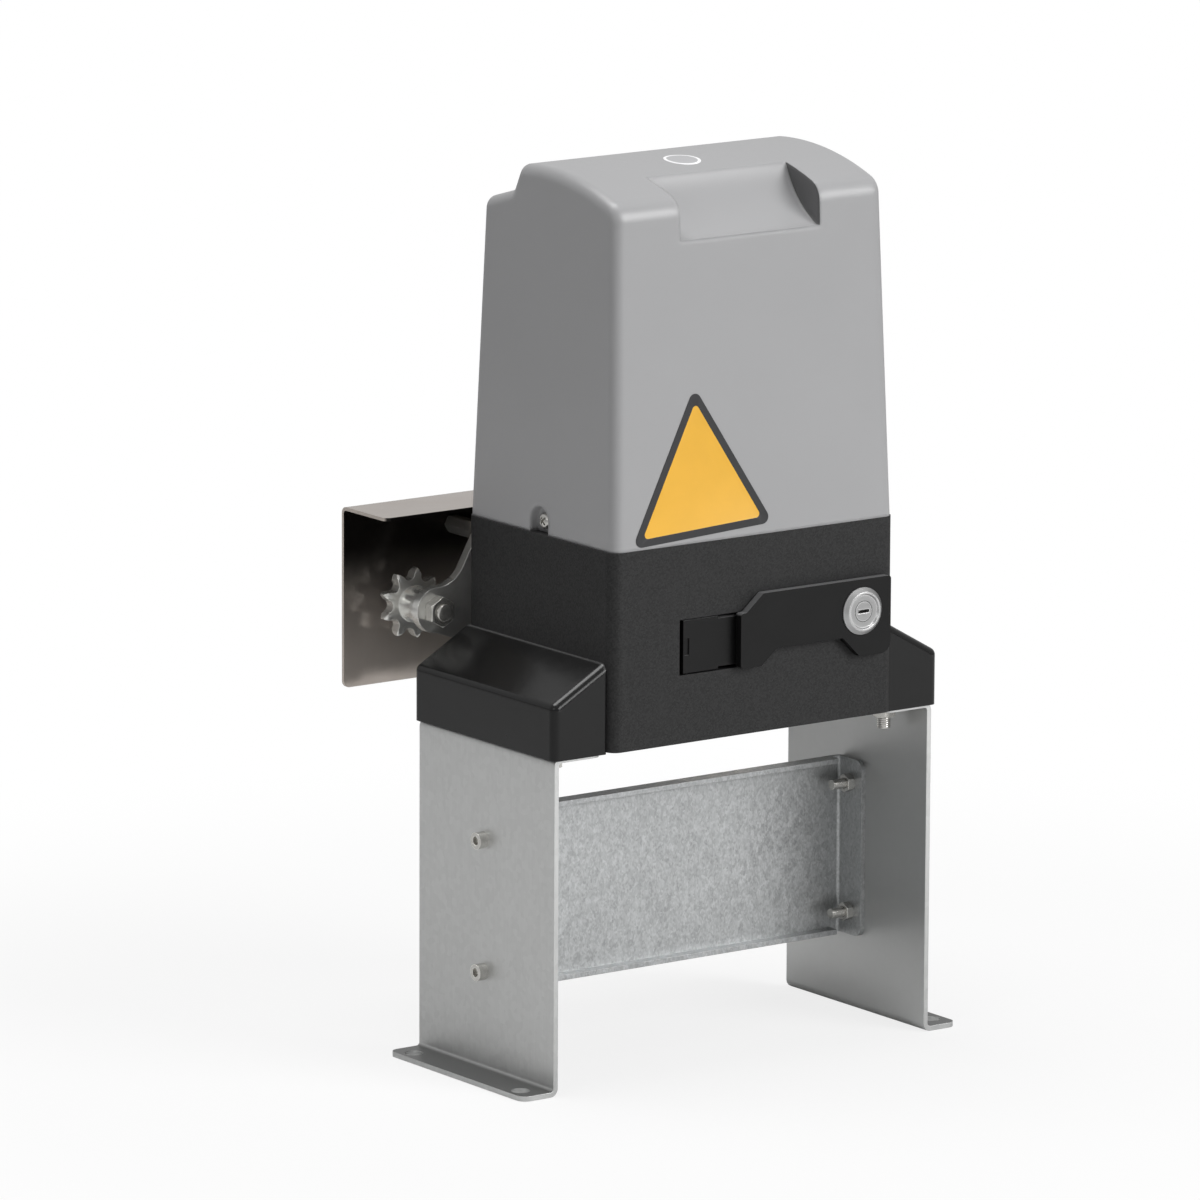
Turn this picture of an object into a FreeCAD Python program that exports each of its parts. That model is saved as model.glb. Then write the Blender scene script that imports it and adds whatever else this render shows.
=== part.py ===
"""Sliding gate motor: a vertical motor and worm gearbox in a housing on two bent sheet legs.

Frame: millimetres, origin on the ground midway between the legs, +Z up, +X along the length,
-Y towards the release lever, +Y towards the chain that lies along the gate.
"""
import FreeCAD, Part
import math
import os
import re

import Sketcher

Vector = FreeCAD.Vector
Rotation = FreeCAD.Rotation

os.makedirs("parts", exist_ok=True)
doc = FreeCAD.newDocument("sliding_gate_motor")
sheet = doc.addObject("Spreadsheet::Sheet", "Sheet")

SIZES = {
    # legs, bent from one sheet each
    "sheet_thickness": 3.0,
    "bracket_height": 200.0,
    "bracket_depth": 135.6,
    "foot_length": 22.0,
    "ledge_length": 34.0,
    "ledge_clip": 2.0,
    "bend_radius": 5.0,
    "foot_corner": 6.0,
    "foot_hole_radius": 5.5,
    "foot_hole_setback": 13.6,
    "foot_hole_spacing_y": 108.0,
    # cross brace between the legs
    "brace_height": 107.6,
    "brace_centre_height": 100.0,
    "brace_back": 16.0,
    "brace_flange_depth": 25.0,
    "brace_lip_depth": 10.0,
    "brace_corner": 6.0,
    "brace_relief": 4.0,
    "brace_screw_spacing": 78.6,
    "brace_screw_setback": 13.6,
    "brace_screw_radius": 3.0,
    "brace_screw_length": 20.0,
    "brace_head_radius": 5.0,
    "brace_head_height": 6.0,
    "brace_nut_flats": 10.0,
    "brace_nut_height": 5.0,
    # base housing, a casting with mounting ears
    "housing_length": 204.0,
    "housing_front": 76.0,
    "housing_back": 69.4,
    "housing_height": 117.2,
    "housing_wall": 6.0,
    "housing_floor": 10.0,
    "housing_corner": 7.0,
    "ear_reach": 30.0,
    "ear_gap": 1.4,
    "ear_depth": 124.0,
    "ear_thickness": 8.0,
    "mount_bolt_reach": 19.0,
    "mount_bolt_spacing_y": 84.0,
    "mount_bolt_radius": 4.0,
    "mount_bolt_length": 26.0,
    "mount_head_radius": 6.5,
    "mount_head_height": 8.0,
    "mount_nut_flats": 13.0,
    "mount_nut_height": 6.5,
    "mount_washer_radius": 8.0,
    "mount_washer_thickness": 1.6,
    "bolt_clearance": 0.4,
    "front_wall": 20.0,
    "rim_inset_x": 20.0,
    "rim_inset_y": 12.0,
    "rim_boss_radius": 7.0,
    # moulded caps over the ears
    "cap_wall": 2.2,
    "cap_gap": 0.4,
    "cap_skirt": 1.2,
    "cap_side_height": 31.0,
    "cap_ridge_height": 52.0,
    "cap_rounding": 4.5,
    # moulded top cover
    "cover_height": 212.8,
    "cover_wall": 3.0,
    "cover_inset": 1.0,
    "cover_front_lean": 8.3,
    "cover_back_lean": 8.3,
    "cover_end_lean": 5.5,
    "arch_radius": 193.0,
    "brow_drop": 15.0,
    "brow_rounding": 12.0,
    "crown_back": 27.0,
    "crown_back_drop": 1.0,
    "crown_rounding": 8.0,
    "step_depth": 16.0,
    "step_run": 7.5,
    "step_rounding": 5.0,
    "shoulder_fall": 8.0,
    "shoulder_rounding": 8.0,
    "cover_edge_rounding": 6.5,
    "scoop_width": 100.0,
    "scoop_drop": 37.0,
    "scoop_reach": 42.0,
    "scoop_radius": 60.0,
    "scoop_edge": 2.0,
    "notch_radius": 9.0,
    "notch_depth": 6.5,
    "notch_offset": 2.0,
    "notch_height": 7.0,
    "cover_screw_radius": 2.5,
    "cover_screw_length": 20.0,
    "cover_head_radius": 4.8,
    "cover_head_height": 3.2,
    # gearbox lid under the cover
    "lid_thickness": 10.0,
    "lid_gap": 1.0,
    "rim_screw_radius": 2.5,
    "rim_head_radius": 4.25,
    "rim_head_height": 5.0,
    "rim_screw_length": 22.0,
    "screw_end_gap": 1.0,
    # release lever on the front
    "lever_length": 95.0,
    "lever_top": 83.3,
    "lever_bottom": 37.4,
    "lever_neck_top": 73.0,
    "lever_neck_bottom": 40.2,
    "lever_bar_bottom": 49.7,
    "lever_pad_start": 60.0,
    "lever_pad_run": 12.5,
    "lever_shoulder_back": 10.0,
    "lever_shoulder_run": 12.0,
    "lever_foot_end": 1.0,
    "lever_foot_run": 11.5,
    "lever_thickness": 5.0,
    "lever_gap": 0.6,
    "lever_rounding": 2.0,
    "lever_heel_rounding": 7.0,
    "lever_start": 14.0,
    "hinge_offset": 46.0,
    "hinge_depth": 5.5,
    "hinge_barrel_radius": 5.0,
    "hinge_pin_radius": 2.0,
    "hinge_pin_grip": 5.0,
    "hinge_pin_gap": 0.25,
    "hinge_pocket_left": 54.0,
    "hinge_side_gap": 0.8,
    "hinge_waist": 1.4,
    "hinge_waist_start": 26.0,
    "hinge_notch_length": 3.2,
    "hinge_notch_height": 10.0,
    "hinge_notch_depth": 0.8,
    "hinge_arm_thickness": 8.0,
    "lever_seat": 0.5,
    "bridge_inset": 1.0,
    "hinge_arm_end": 8.0,
    "hinge_pocket_right": 6.0,
    "hinge_pocket_depth": 13.0,
    "lock_offset": 73.7,
    "lock_height": 64.5,
    "lock_radius": 14.0,
    "lock_barrel_radius": 9.0,
    "lock_barrel_length": 17.0,
    "lock_rim_height": 3.0,
    "lock_edge_height": 0.8,
    "lock_crown_radius": 11.5,
    "lock_pocket_gap": 2.0,
    "lock_dish_radius": 10.5,
    "lock_dish_slope": 0.8,
    "lock_dish_depth": 1.2,
    "lock_plug_radius": 6.0,
    "key_slot_width": 2.0,
    "key_slot_length": 8.0,
    "key_slot_depth": 6.0,
    "cam_length": 8.5,
    "cam_width": 6.0,
    "cam_thickness": 2.0,
    "running_clearance": 0.05,
    # gear train
    "shaft_height": 80.0,
    "shaft_radius": 10.0,
    "shaft_collar_radius": 12.5,
    "gear_module": 2.0,
    "gear_root_gap": 0.4,
    "gear_backlash": 0.5,
    "flank_angle": 20.0,
    "wheel_teeth": 35,
    "wheel_width": 16.0,
    "wheel_hub_radius": 17.0,
    "wheel_rim": 4.5,
    "wheel_recess": 3.0,
    "wheel_setback": 4.0,
    "worm_pitch_radius": 11.0,
    "worm_turns": 6,
    "worm_shoulder": 4.0,
    "rotor_shaft_radius": 6.0,
    "shaft_end_gap": 1.0,
    "bearing_width": 10.0,
    "bearing_end_gap": 0.5,
    "bearing_outer_radius": 17.5,
    "rotor_bearing_radius": 14.0,
    "rotor_bearing_width": 9.0,
    "bearing_boss_radius": 23.0,
    "front_boss_depth": 11.0,
    "back_boss_depth": 22.0,
    "rotor_boss_radius": 19.0,
    "rotor_boss_height": 12.0,
    "seal_radius": 15.0,
    "seal_width": 7.0,
    # chain side
    "arm_setback": 10.6,
    "arm_thickness": 6.0,
    "arm_end_radius": 13.5,
    "arm_top": 114.0,
    "arm_bottom": 29.0,
    "arm_top_half": 80.0,
    "arm_waist_half": 103.0,
    "arm_bore_radius": 20.0,
    "arm_bottom_half": 70.0,
    "arm_rounding": 12.0,
    "arm_waist_rounding": 20.0,
    "arm_boss_radius": 9.0,
    "arm_screw_spacing_x": 110.0,
    "arm_screw_top": 98.0,
    "arm_screw_bottom": 40.0,
    "arm_screw_radius": 3.0,
    "arm_head_radius": 5.0,
    "arm_head_height": 5.5,
    "arm_screw_length": 24.0,
    "idler_spacing": 232.0,
    "idler_height": 59.5,
    "idler_bolt_radius": 6.0,
    "idler_nut_flats": 18.0,
    "idler_nut_height": 7.5,
    "idler_head_height": 7.0,
    "idler_bush_wall": 2.0,
    "idler_end_play": 0.3,
    "idler_bolt_end": 2.5,
    "idler_washer_radius": 12.0,
    "idler_washer_thickness": 2.0,
    "idler_hub_radius": 10.5,
    "chain_plane": 107.0,
    "chain_pitch": 12.7,
    "chain_roller_radius": 3.96,
    "tooth_width": 7.0,
    "idler_teeth": 9,
    "drive_teeth": 13,
    "drive_hub_radius": 18.0,
    "shaft_nut_flats": 24.0,
    "shaft_nut_height": 8.0,
    "shaft_thread_radius": 8.0,
    "shaft_thread_end": 2.0,
    "key_width": 6.0,
    "key_height": 3.0,
    "key_clearance": 0.1,
    "guard_length": 305.0,
    "guard_thickness": 2.0,
    "guard_back": 124.5,
    "guard_bottom": 10.0,
    "guard_top": 118.5,
    "guard_flange_front": 79.0,
    "guard_corner": 4.0,
    "guard_bend": 4.0,
    "pillar_radius": 5.0,
    "pillar_offset": 75.0,
    "pillar_height": 100.0,
    "guard_screw_radius": 2.5,
    "guard_head_radius": 4.5,
    "guard_head_height": 2.8,
    "guard_socket_radius": 2.5,
    "guard_screw_length": 12.0,
    # motor
    "motor_end_gap": 11.0,
    "stator_height": 72.0,
    "stator_bore": 28.0,
    "bell_height": 18.0,
    "bell_wall": 5.0,
    "air_gap": 0.5,
    "rotor_end_gap": 4.0,
    "shaft_way_gap": 1.5,
    # electrics
    "board_length": 120.0,
    "board_height": 96.0,
    "board_thickness": 1.6,
    "board_setback": 26.0,
    "board_lift": 22.0,
    "board_end_gap": 84.0,
    "frame_foot": 10.0,
    "frame_back": 4.0,
    "frame_grip": 6.0,
    "frame_wall": 3.0,
    "frame_clearance": 0.1,
    "relay_width": 16.0,
    "relay_depth": 12.0,
    "relay_height": 20.0,
    "relay_pitch": 20.0,
    "relay_drop": 28.0,
    "terminal_length": 84.0,
    "terminal_depth": 10.0,
    "terminal_height": 12.0,
    "terminal_lift": 10.0,
    "capacitor_radius": 18.0,
    "capacitor_height": 74.0,
    "capacitor_end_gap": 41.0,
    "capacitor_setback": 22.0,
    "clip_wall": 2.0,
    "clip_height": 12.0,
    "transformer_length": 50.0,
    "transformer_depth": 42.0,
    "transformer_height": 44.0,
    "transformer_end_gap": 69.0,
    "transformer_setback": 8.0,
    # how far a cutting tool runs past a face
    "tool_overrun": 1.0,
}

for row, (alias, value) in enumerate(SIZES.items(), start=1):
    sheet.set(f"A{row}", alias.replace("_", " "))
    sheet.set(f"B{row}", repr(value))
    sheet.setAlias(f"B{row}", alias)
doc.recompute()


def size(alias):
    """A driving dimension, read from the sheet."""
    return float(getattr(sheet, alias))


def bound(expression):
    """Turn an expression written with plain size names into one that reads the sheet."""
    return re.sub(r"[a-z_]+", lambda word: sheet_name(word.group()), expression)


def sheet_name(word):
    return f"Sheet.{word}" if word in SIZES else word


# Heights and planes that several pieces share, worked out from the sheet.
SEAM = "( bracket_height + housing_height )"
CREST = "( bracket_height + housing_height + cover_height )"
HALF_HOUSING = "( housing_length / 2 )"
LEG_INNER = "( housing_length / 2 + ear_reach + ear_gap )"
LEG_FACE = "( housing_length / 2 + ear_reach + ear_gap + sheet_thickness )"
SHAFT_Z = "( bracket_height + shaft_height )"
ARM_FRONT = "( housing_back + arm_setback )"
ARM_BACK = "( housing_back + arm_setback + arm_thickness )"
LID_TOP = "( bracket_height + housing_height + lid_thickness )"
EAR_TOP = "( bracket_height + ear_thickness )"
LEDGE_BOTTOM = "( bracket_height - sheet_thickness )"
HINGE_Y = "( housing_front - hinge_depth )"
LEVER_BACK = "( housing_front + lever_gap )"
LEVER_FRONT = "( housing_front + lever_gap + lever_thickness )"
IDLER_Z = "( bracket_height + idler_height )"
MOTOR_X = "( gear_module * wheel_teeth / 2 + worm_pitch_radius )"
MOTOR_RADIUS = "( housing_length / 2 - gear_module * wheel_teeth / 2 - worm_pitch_radius - motor_end_gap )"
BOARD_X = "( housing_length / 2 - board_end_gap )"


# ---------------------------------------------------------------- building blocks

def body(label):
    part_body = doc.addObject("PartDesign::Body", label)
    part_body.Label = label
    return part_body


def sketch(part_body, plane, offset="0"):
    """An empty sketch on one of the body's origin planes, shifted along the plane's normal."""
    name = f"{part_body.Label}_sketch_{len(part_body.Group)}"
    drawing = part_body.newObject("Sketcher::SketchObject", name)
    role = f"{plane}_Plane"
    support = [item for item in part_body.Origin.OriginFeatures if item.Role == role][0]
    drawing.AttachmentSupport = (support, [""])
    drawing.MapMode = "FlatFace"
    drawing.setExpression("AttachmentOffset.Base.z", bound(offset))
    return drawing


def pin(drawing, index, point, across, up):
    """Hold one point of the sketch at a place given by two expressions."""
    row = drawing.addConstraint(Sketcher.Constraint("DistanceX", -1, 1, index, point, 1.0))
    drawing.setExpression(f"Constraints[{row}]", bound(across))
    row = drawing.addConstraint(Sketcher.Constraint("DistanceY", -1, 1, index, point, 1.0))
    drawing.setExpression(f"Constraints[{row}]", bound(up))


def outline(drawing, corners, arcs=None):
    """A closed outline through corners; arcs maps a side's number to (radius, bulge side).

    A side whose radius is None is a half circle on its own chord.
    """
    arcs = arcs or {}
    first = drawing.GeometryCount
    for step, (across, up) in enumerate(corners):
        marker = drawing.addGeometry(Part.Point(Vector(step, step * step, 0)), True)
        pin(drawing, marker, 1, across, up)
    doc.recompute()
    places = [Vector(drawing.Geometry[first + step].X, drawing.Geometry[first + step].Y, 0)
              for step in range(len(corners))]
    for step, start in enumerate(places):
        after = (step + 1) % len(places)
        finish = places[after]
        if step in arcs:
            radius, bulge = arcs[step]
            drawn = size(radius) if radius else (finish - start).Length / 2
            side = drawing.addGeometry(arc_edge(start, finish, drawn, bulge))
            tail, head = (1, 2) if bulge > 0 else (2, 1)
            if radius:
                row = drawing.addConstraint(Sketcher.Constraint("Radius", side, drawn))
                drawing.setExpression(f"Constraints[{row}]", bound(radius))
            else:
                upright = abs(finish.x - start.x) < abs(finish.y - start.y)
                kind = "DistanceX" if upright else "DistanceY"
                middle = (start + finish) * 0.5
                place = middle.x if upright else middle.y
                row = drawing.addConstraint(Sketcher.Constraint(kind, -1, 1, side, 3, place))
                drawing.setExpression(f"Constraints[{row}]", bound(corners[step][0 if upright else 1]))
        else:
            side = drawing.addGeometry(Part.LineSegment(start, finish))
            tail, head = 1, 2
        drawing.addConstraint(Sketcher.Constraint("Coincident", side, tail, first + step, 1))
        drawing.addConstraint(Sketcher.Constraint("Coincident", side, head, first + after, 1))


def arc_edge(start, finish, radius, bulge):
    """The short arc of a given radius between two points, turning left (1) or right (-1)."""
    chord = finish - start
    middle = (start + finish) * 0.5
    height = math.sqrt(max(radius ** 2 - (chord.Length / 2) ** 2, 0))
    across = Vector(-chord.y, chord.x, 0).normalize()
    centre = middle + across * height * bulge
    first, last = (start, finish) if bulge > 0 else (finish, start)
    start_angle = math.atan2(first.y - centre.y, first.x - centre.x)
    end_angle = math.atan2(last.y - centre.y, last.x - centre.x)
    circle_line = Part.Circle(centre, Vector(0, 0, 1), radius)
    return Part.ArcOfCircle(circle_line, start_angle, end_angle)


def box_outline(drawing, left, right, bottom, top):
    outline(drawing, [(left, bottom), (right, bottom), (right, top), (left, top)])


def circle(drawing, across, up, radius):
    index = drawing.addGeometry(Part.Circle(Vector(0, 0, 0), Vector(0, 0, 1), 1.0))
    pin(drawing, index, 3, across, up)
    row = drawing.addConstraint(Sketcher.Constraint("Radius", index, 1.0))
    drawing.setExpression(f"Constraints[{row}]", bound(radius))


def pad(drawing, length, symmetric=False, backwards=False):
    return extrude(drawing, "PartDesign::Pad", length, symmetric, backwards)


def pocket(drawing, length, symmetric=False, backwards=False):
    """Cut along the sketch's normal, and make sure that something was cut."""
    cut = extrude(drawing, "PartDesign::Pocket", length, symmetric, backwards)
    base = cut.BaseFeature
    if not cut.Shape.Volume < base.Shape.Volume - 1e-3:
        raise RuntimeError(f"{cut.Label} cuts nothing")
    return cut


def revolve(drawing):
    """Turn a half profile right round the sketch's upright axis."""
    owner = drawing.getParentGeoFeatureGroup()
    turned = owner.newObject("PartDesign::Revolution", f"{owner.Label}_turned")
    turned.Profile = drawing
    turned.ReferenceAxis = (drawing, ["V_Axis"])
    turned.Angle = 360
    doc.recompute()
    return turned


def extrude(drawing, kind, length, symmetric, backwards):
    owner = drawing.getParentGeoFeatureGroup()
    feature = owner.newObject(kind, f"{owner.Label}_{kind[12:].lower()}_{len(owner.Group)}")
    feature.Profile = drawing
    feature.SideType = "Symmetric" if symmetric else "One side"
    feature.Reversed = backwards
    feature.setExpression("Length", bound(length))
    doc.recompute()
    return feature


def edges_where(feature, test):
    return [f"Edge{index}" for index, edge in enumerate(feature.Shape.Edges, start=1) if test(edge)]


def fillet(feature, test, radius):
    """Round the edges of the latest feature that pass a test."""
    names = edges_where(feature, test)
    if not names:
        raise RuntimeError(f"no edge to round on {feature.Label}")
    owner = feature.getParentGeoFeatureGroup()
    rounding = owner.newObject("PartDesign::Fillet", f"{owner.Label}_fillet_{len(owner.Group)}")
    rounding.Base = (feature, names)
    rounding.setExpression("Radius", bound(radius))
    doc.recompute()
    return rounding


def runs_along(edge, axis):
    """Whether a straight edge lies along one of the frame's axes."""
    if edge.Curve.TypeId != "Part::GeomLine":
        return False
    direction = edge.Curve.Direction
    return abs(abs(getattr(direction, axis)) - 1) < 1e-6


def near(value, target, reach=0.05):
    return abs(value - target) < reach


def placed(item, across="0", along="0", up="0", rotation=None):
    """Put an object at a place given by three expressions."""
    if rotation is not None:
        item.Placement = FreeCAD.Placement(Vector(0, 0, 0), rotation)
    item.setExpression("Placement.Base.x", bound(across))
    item.setExpression("Placement.Base.y", bound(along))
    item.setExpression("Placement.Base.z", bound(up))
    return item


TURN = {
    "+z": Rotation(),
    "-z": Rotation(Vector(1, 0, 0), 180),
    "+x": Rotation(Vector(0, 1, 0), 90),
    "-x": Rotation(Vector(0, 1, 0), -90),
    "+y": Rotation(Vector(1, 0, 0), -90),
    "-y": Rotation(Vector(1, 0, 0), 90),
}


def cylinder(name, radius, height, start="0"):
    rod = doc.addObject("Part::Cylinder", name)
    rod.setExpression("Radius", bound(radius))
    rod.setExpression("Height", bound(height))
    rod.setExpression("Placement.Base.z", bound(start))
    return rod


def hexagon(name, flats, height, start="0"):
    prism = doc.addObject("Part::Prism", name)
    prism.Polygon = 6
    prism.setExpression("Circumradius", bound(f"{flats} / (2 * cos(30))"))
    prism.setExpression("Height", bound(height))
    prism.setExpression("Placement.Base.z", bound(start))
    return prism


def block(name, length, width, height):
    item = doc.addObject("Part::Box", name)
    item.setExpression("Length", bound(length))
    item.setExpression("Width", bound(width))
    item.setExpression("Height", bound(height))
    return item


def cut(name, base, tool):
    result = doc.addObject("Part::Cut", name)
    result.Base = base
    result.Tool = tool
    result.Label = name
    return result


def fuse(name, items):
    result = doc.addObject("Part::MultiFuse", name)
    result.Shapes = items
    result.Label = name
    return result


def group(name, items):
    """Several equal solids kept in one node."""
    result = doc.addObject("Part::Compound", name)
    result.Links = items
    result.Label = name
    return result


def socket_screw(name, head_radius, head_height, shank_radius, length, socket=None):
    """A cap screw standing on z = 0: head above, shank below, with a hexagon socket."""
    head = cylinder(f"{name}_head", head_radius, head_height)
    shank = cylinder(f"{name}_shank", shank_radius, length, f"-( {length} )")
    whole = fuse(f"{name}_blank", [head, shank])
    key = hexagon(f"{name}_socket", socket or head_radius, head_height, f"{head_height} / 2")
    return cut(name, whole, key)


def nut(name, flats, height, bore):
    outside = hexagon(f"{name}_hexagon", flats, height)
    hole = cylinder(f"{name}_hole", bore, f"{height} + 2 * tool_overrun", "-tool_overrun")
    return cut(name, outside, hole)


def washer(name, outer, bore, thickness):
    disc = cylinder(f"{name}_disc", outer, thickness)
    hole = cylinder(f"{name}_hole", bore, f"{thickness} + 2 * tool_overrun", "-tool_overrun")
    return cut(name, disc, hole)


KEPT = []


def keep(item):
    """Mark an object as a finished piece: its Label names its file."""
    KEPT.append(item)
    return item


# ---------------------------------------------------------------- legs and cross brace

def leg_inner():
    """The distance from the middle to the inner face of a leg."""
    return size("housing_length") / 2 + size("ear_reach") + size("ear_gap")


def bracket(label, side):
    """A leg bent from sheet: a foot turned outwards and a ledge turned in under the housing."""
    leg = body(label)
    profile = sketch(leg, "XZ")
    tip = f"{side} * ({LEG_FACE} + foot_length)"
    face = f"{side} * {LEG_FACE}"
    inner = f"{side} * {LEG_INNER}"
    ledge = f"{side} * ({LEG_FACE} - ledge_length)"
    outline(profile, [
        (tip, "0"),
        (tip, "sheet_thickness"),
        (face, "sheet_thickness"),
        (face, "bracket_height"),
        (ledge, "bracket_height"),
        (ledge, LEDGE_BOTTOM),
        (inner, LEDGE_BOTTOM),
        (inner, "0"),
    ])
    sheet_part = pad(profile, "bracket_depth", symmetric=True)
    inner_x = side * leg_inner()
    face_x = inner_x + side * size("sheet_thickness")
    ledge_top = size("bracket_height")

    def outer_bend(edge):
        at = edge.CenterOfMass
        top = near(at.x, face_x) and near(at.z, ledge_top)
        return runs_along(edge, "y") and (top or (near(at.x, inner_x) and near(at.z, 0)))

    def inner_bend(edge):
        at = edge.CenterOfMass
        top = near(at.x, inner_x) and near(at.z, ledge_top - size("sheet_thickness"))
        return runs_along(edge, "y") and (top or (near(at.x, face_x) and near(at.z, size("sheet_thickness"))))

    def free_corner(edge):
        short = near(edge.Length, size("sheet_thickness"))
        return runs_along(edge, "z") and short

    bent = fillet(sheet_part, outer_bend, "bend_radius")
    bent = fillet(bent, inner_bend, "bend_radius - sheet_thickness")
    fillet(bent, free_corner, "foot_corner")
    foot = sketch(leg, "XY")
    shelf = sketch(leg, "XY", "bracket_height")
    web = sketch(leg, "YZ", f"{side} * {LEG_FACE}")
    for way in (-1, 1):
        circle(foot, f"{side} * ({LEG_FACE} + foot_hole_setback)", f"{way} * foot_hole_spacing_y / 2", "foot_hole_radius")
        circle(shelf, f"{side} * ({HALF_HOUSING} + mount_bolt_reach)", f"{way} * mount_bolt_spacing_y / 2",
               "mount_bolt_radius + bolt_clearance")
        circle(web, "brace_back - brace_screw_setback",
               f"brace_centre_height + {way} * brace_screw_spacing / 2", "brace_screw_radius + bolt_clearance")
    for holes in (foot, shelf, web):
        pocket(holes, "3 * sheet_thickness", symmetric=True)
    clipped = sketch(leg, "XY", "bracket_height")
    for way in (-1, 1):
        outline(clipped, [
            (f"{side} * ({LEG_FACE} + tool_overrun)", f"{way} * (bracket_depth / 2 + tool_overrun)"),
            (f"{side} * ({LEG_FACE} - ledge_clip)", f"{way} * (bracket_depth / 2 + tool_overrun)"),
            (f"{side} * ({LEG_FACE} + tool_overrun)", f"{way} * (bracket_depth / 2 - ledge_clip)"),
        ])
    pocket(clipped, "cap_skirt + tool_overrun")
    return leg


def cross_brace():
    """A channel between the legs: end flanges for the screws and short lips that stiffen the web."""
    brace = body("cross_brace")
    bottom = "(brace_centre_height - brace_height / 2)"
    top = "(brace_centre_height + brace_height / 2)"
    front = "(brace_back - brace_flange_depth)"
    web_front = "(brace_back - sheet_thickness)"
    inner = f"({LEG_INNER} - sheet_thickness)"
    plan = sketch(brace, "XY", bottom)
    outline(plan, [
        (f"-{LEG_INNER}", front),
        (f"-{inner}", front),
        (f"-{inner}", web_front),
        (inner, web_front),
        (inner, front),
        (LEG_INNER, front),
        (LEG_INNER, "brace_back"),
        (f"-{LEG_INNER}", "brace_back"),
    ])
    web = pad(plan, "brace_height")

    def outer_bend(edge):
        return runs_along(edge, "z") and near(edge.CenterOfMass.y, size("brace_back"))

    def inner_bend(edge):
        at = edge.CenterOfMass
        return runs_along(edge, "z") and near(at.y, size("brace_back") - size("sheet_thickness"))

    def flange_corner(edge):
        return runs_along(edge, "x") and near(edge.CenterOfMass.y, size("brace_back") - size("brace_flange_depth"))

    bent = fillet(web, outer_bend, "bend_radius")
    bent = fillet(bent, inner_bend, "bend_radius - sheet_thickness")
    fillet(bent, flange_corner, "brace_corner")
    lips = sketch(brace, "YZ")
    lip_front = "brace_back - brace_lip_depth"
    box_outline(lips, lip_front, "brace_back", f"{top} - sheet_thickness", top)
    box_outline(lips, lip_front, "brace_back", bottom, f"{bottom} + sheet_thickness")
    pad(lips, f"2 * ({LEG_INNER} - bend_radius - brace_relief)", symmetric=True)
    for side in (-1, 1):
        holes = sketch(brace, "YZ", f"{side} * {LEG_INNER}")
        for way in (-1, 1):
            circle(holes, "brace_back - brace_screw_setback",
                   f"brace_centre_height + {way} * brace_screw_spacing / 2", "brace_screw_radius + bolt_clearance")
        pocket(holes, "3 * sheet_thickness", symmetric=True)
    return brace


def brace_fasteners():
    screws = []
    nuts = []
    for side in (-1, 1):
        for way in (-1, 1):
            name = f"brace_{len(screws)}"
            height = f"brace_centre_height + {way} * brace_screw_spacing / 2"
            along = "brace_back - brace_screw_setback"
            screw = socket_screw(f"{name}_screw", "brace_head_radius", "brace_head_height",
                                 "brace_screw_radius", "brace_screw_length")
            placed(screw, f"{side} * {LEG_FACE}", along, height, TURN["+x" if side > 0 else "-x"])
            ring = nut(f"{name}_nut", "brace_nut_flats", "brace_nut_height",
                       "brace_screw_radius + running_clearance")
            placed(ring, f"{side} * ({LEG_INNER} - sheet_thickness)", along, height,
                   TURN["-x" if side > 0 else "+x"])
            screws.append(screw)
            nuts.append(ring)
    return [group("brace_screws", screws), group("brace_nuts", nuts)]


# ---------------------------------------------------------------- base housing

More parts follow.
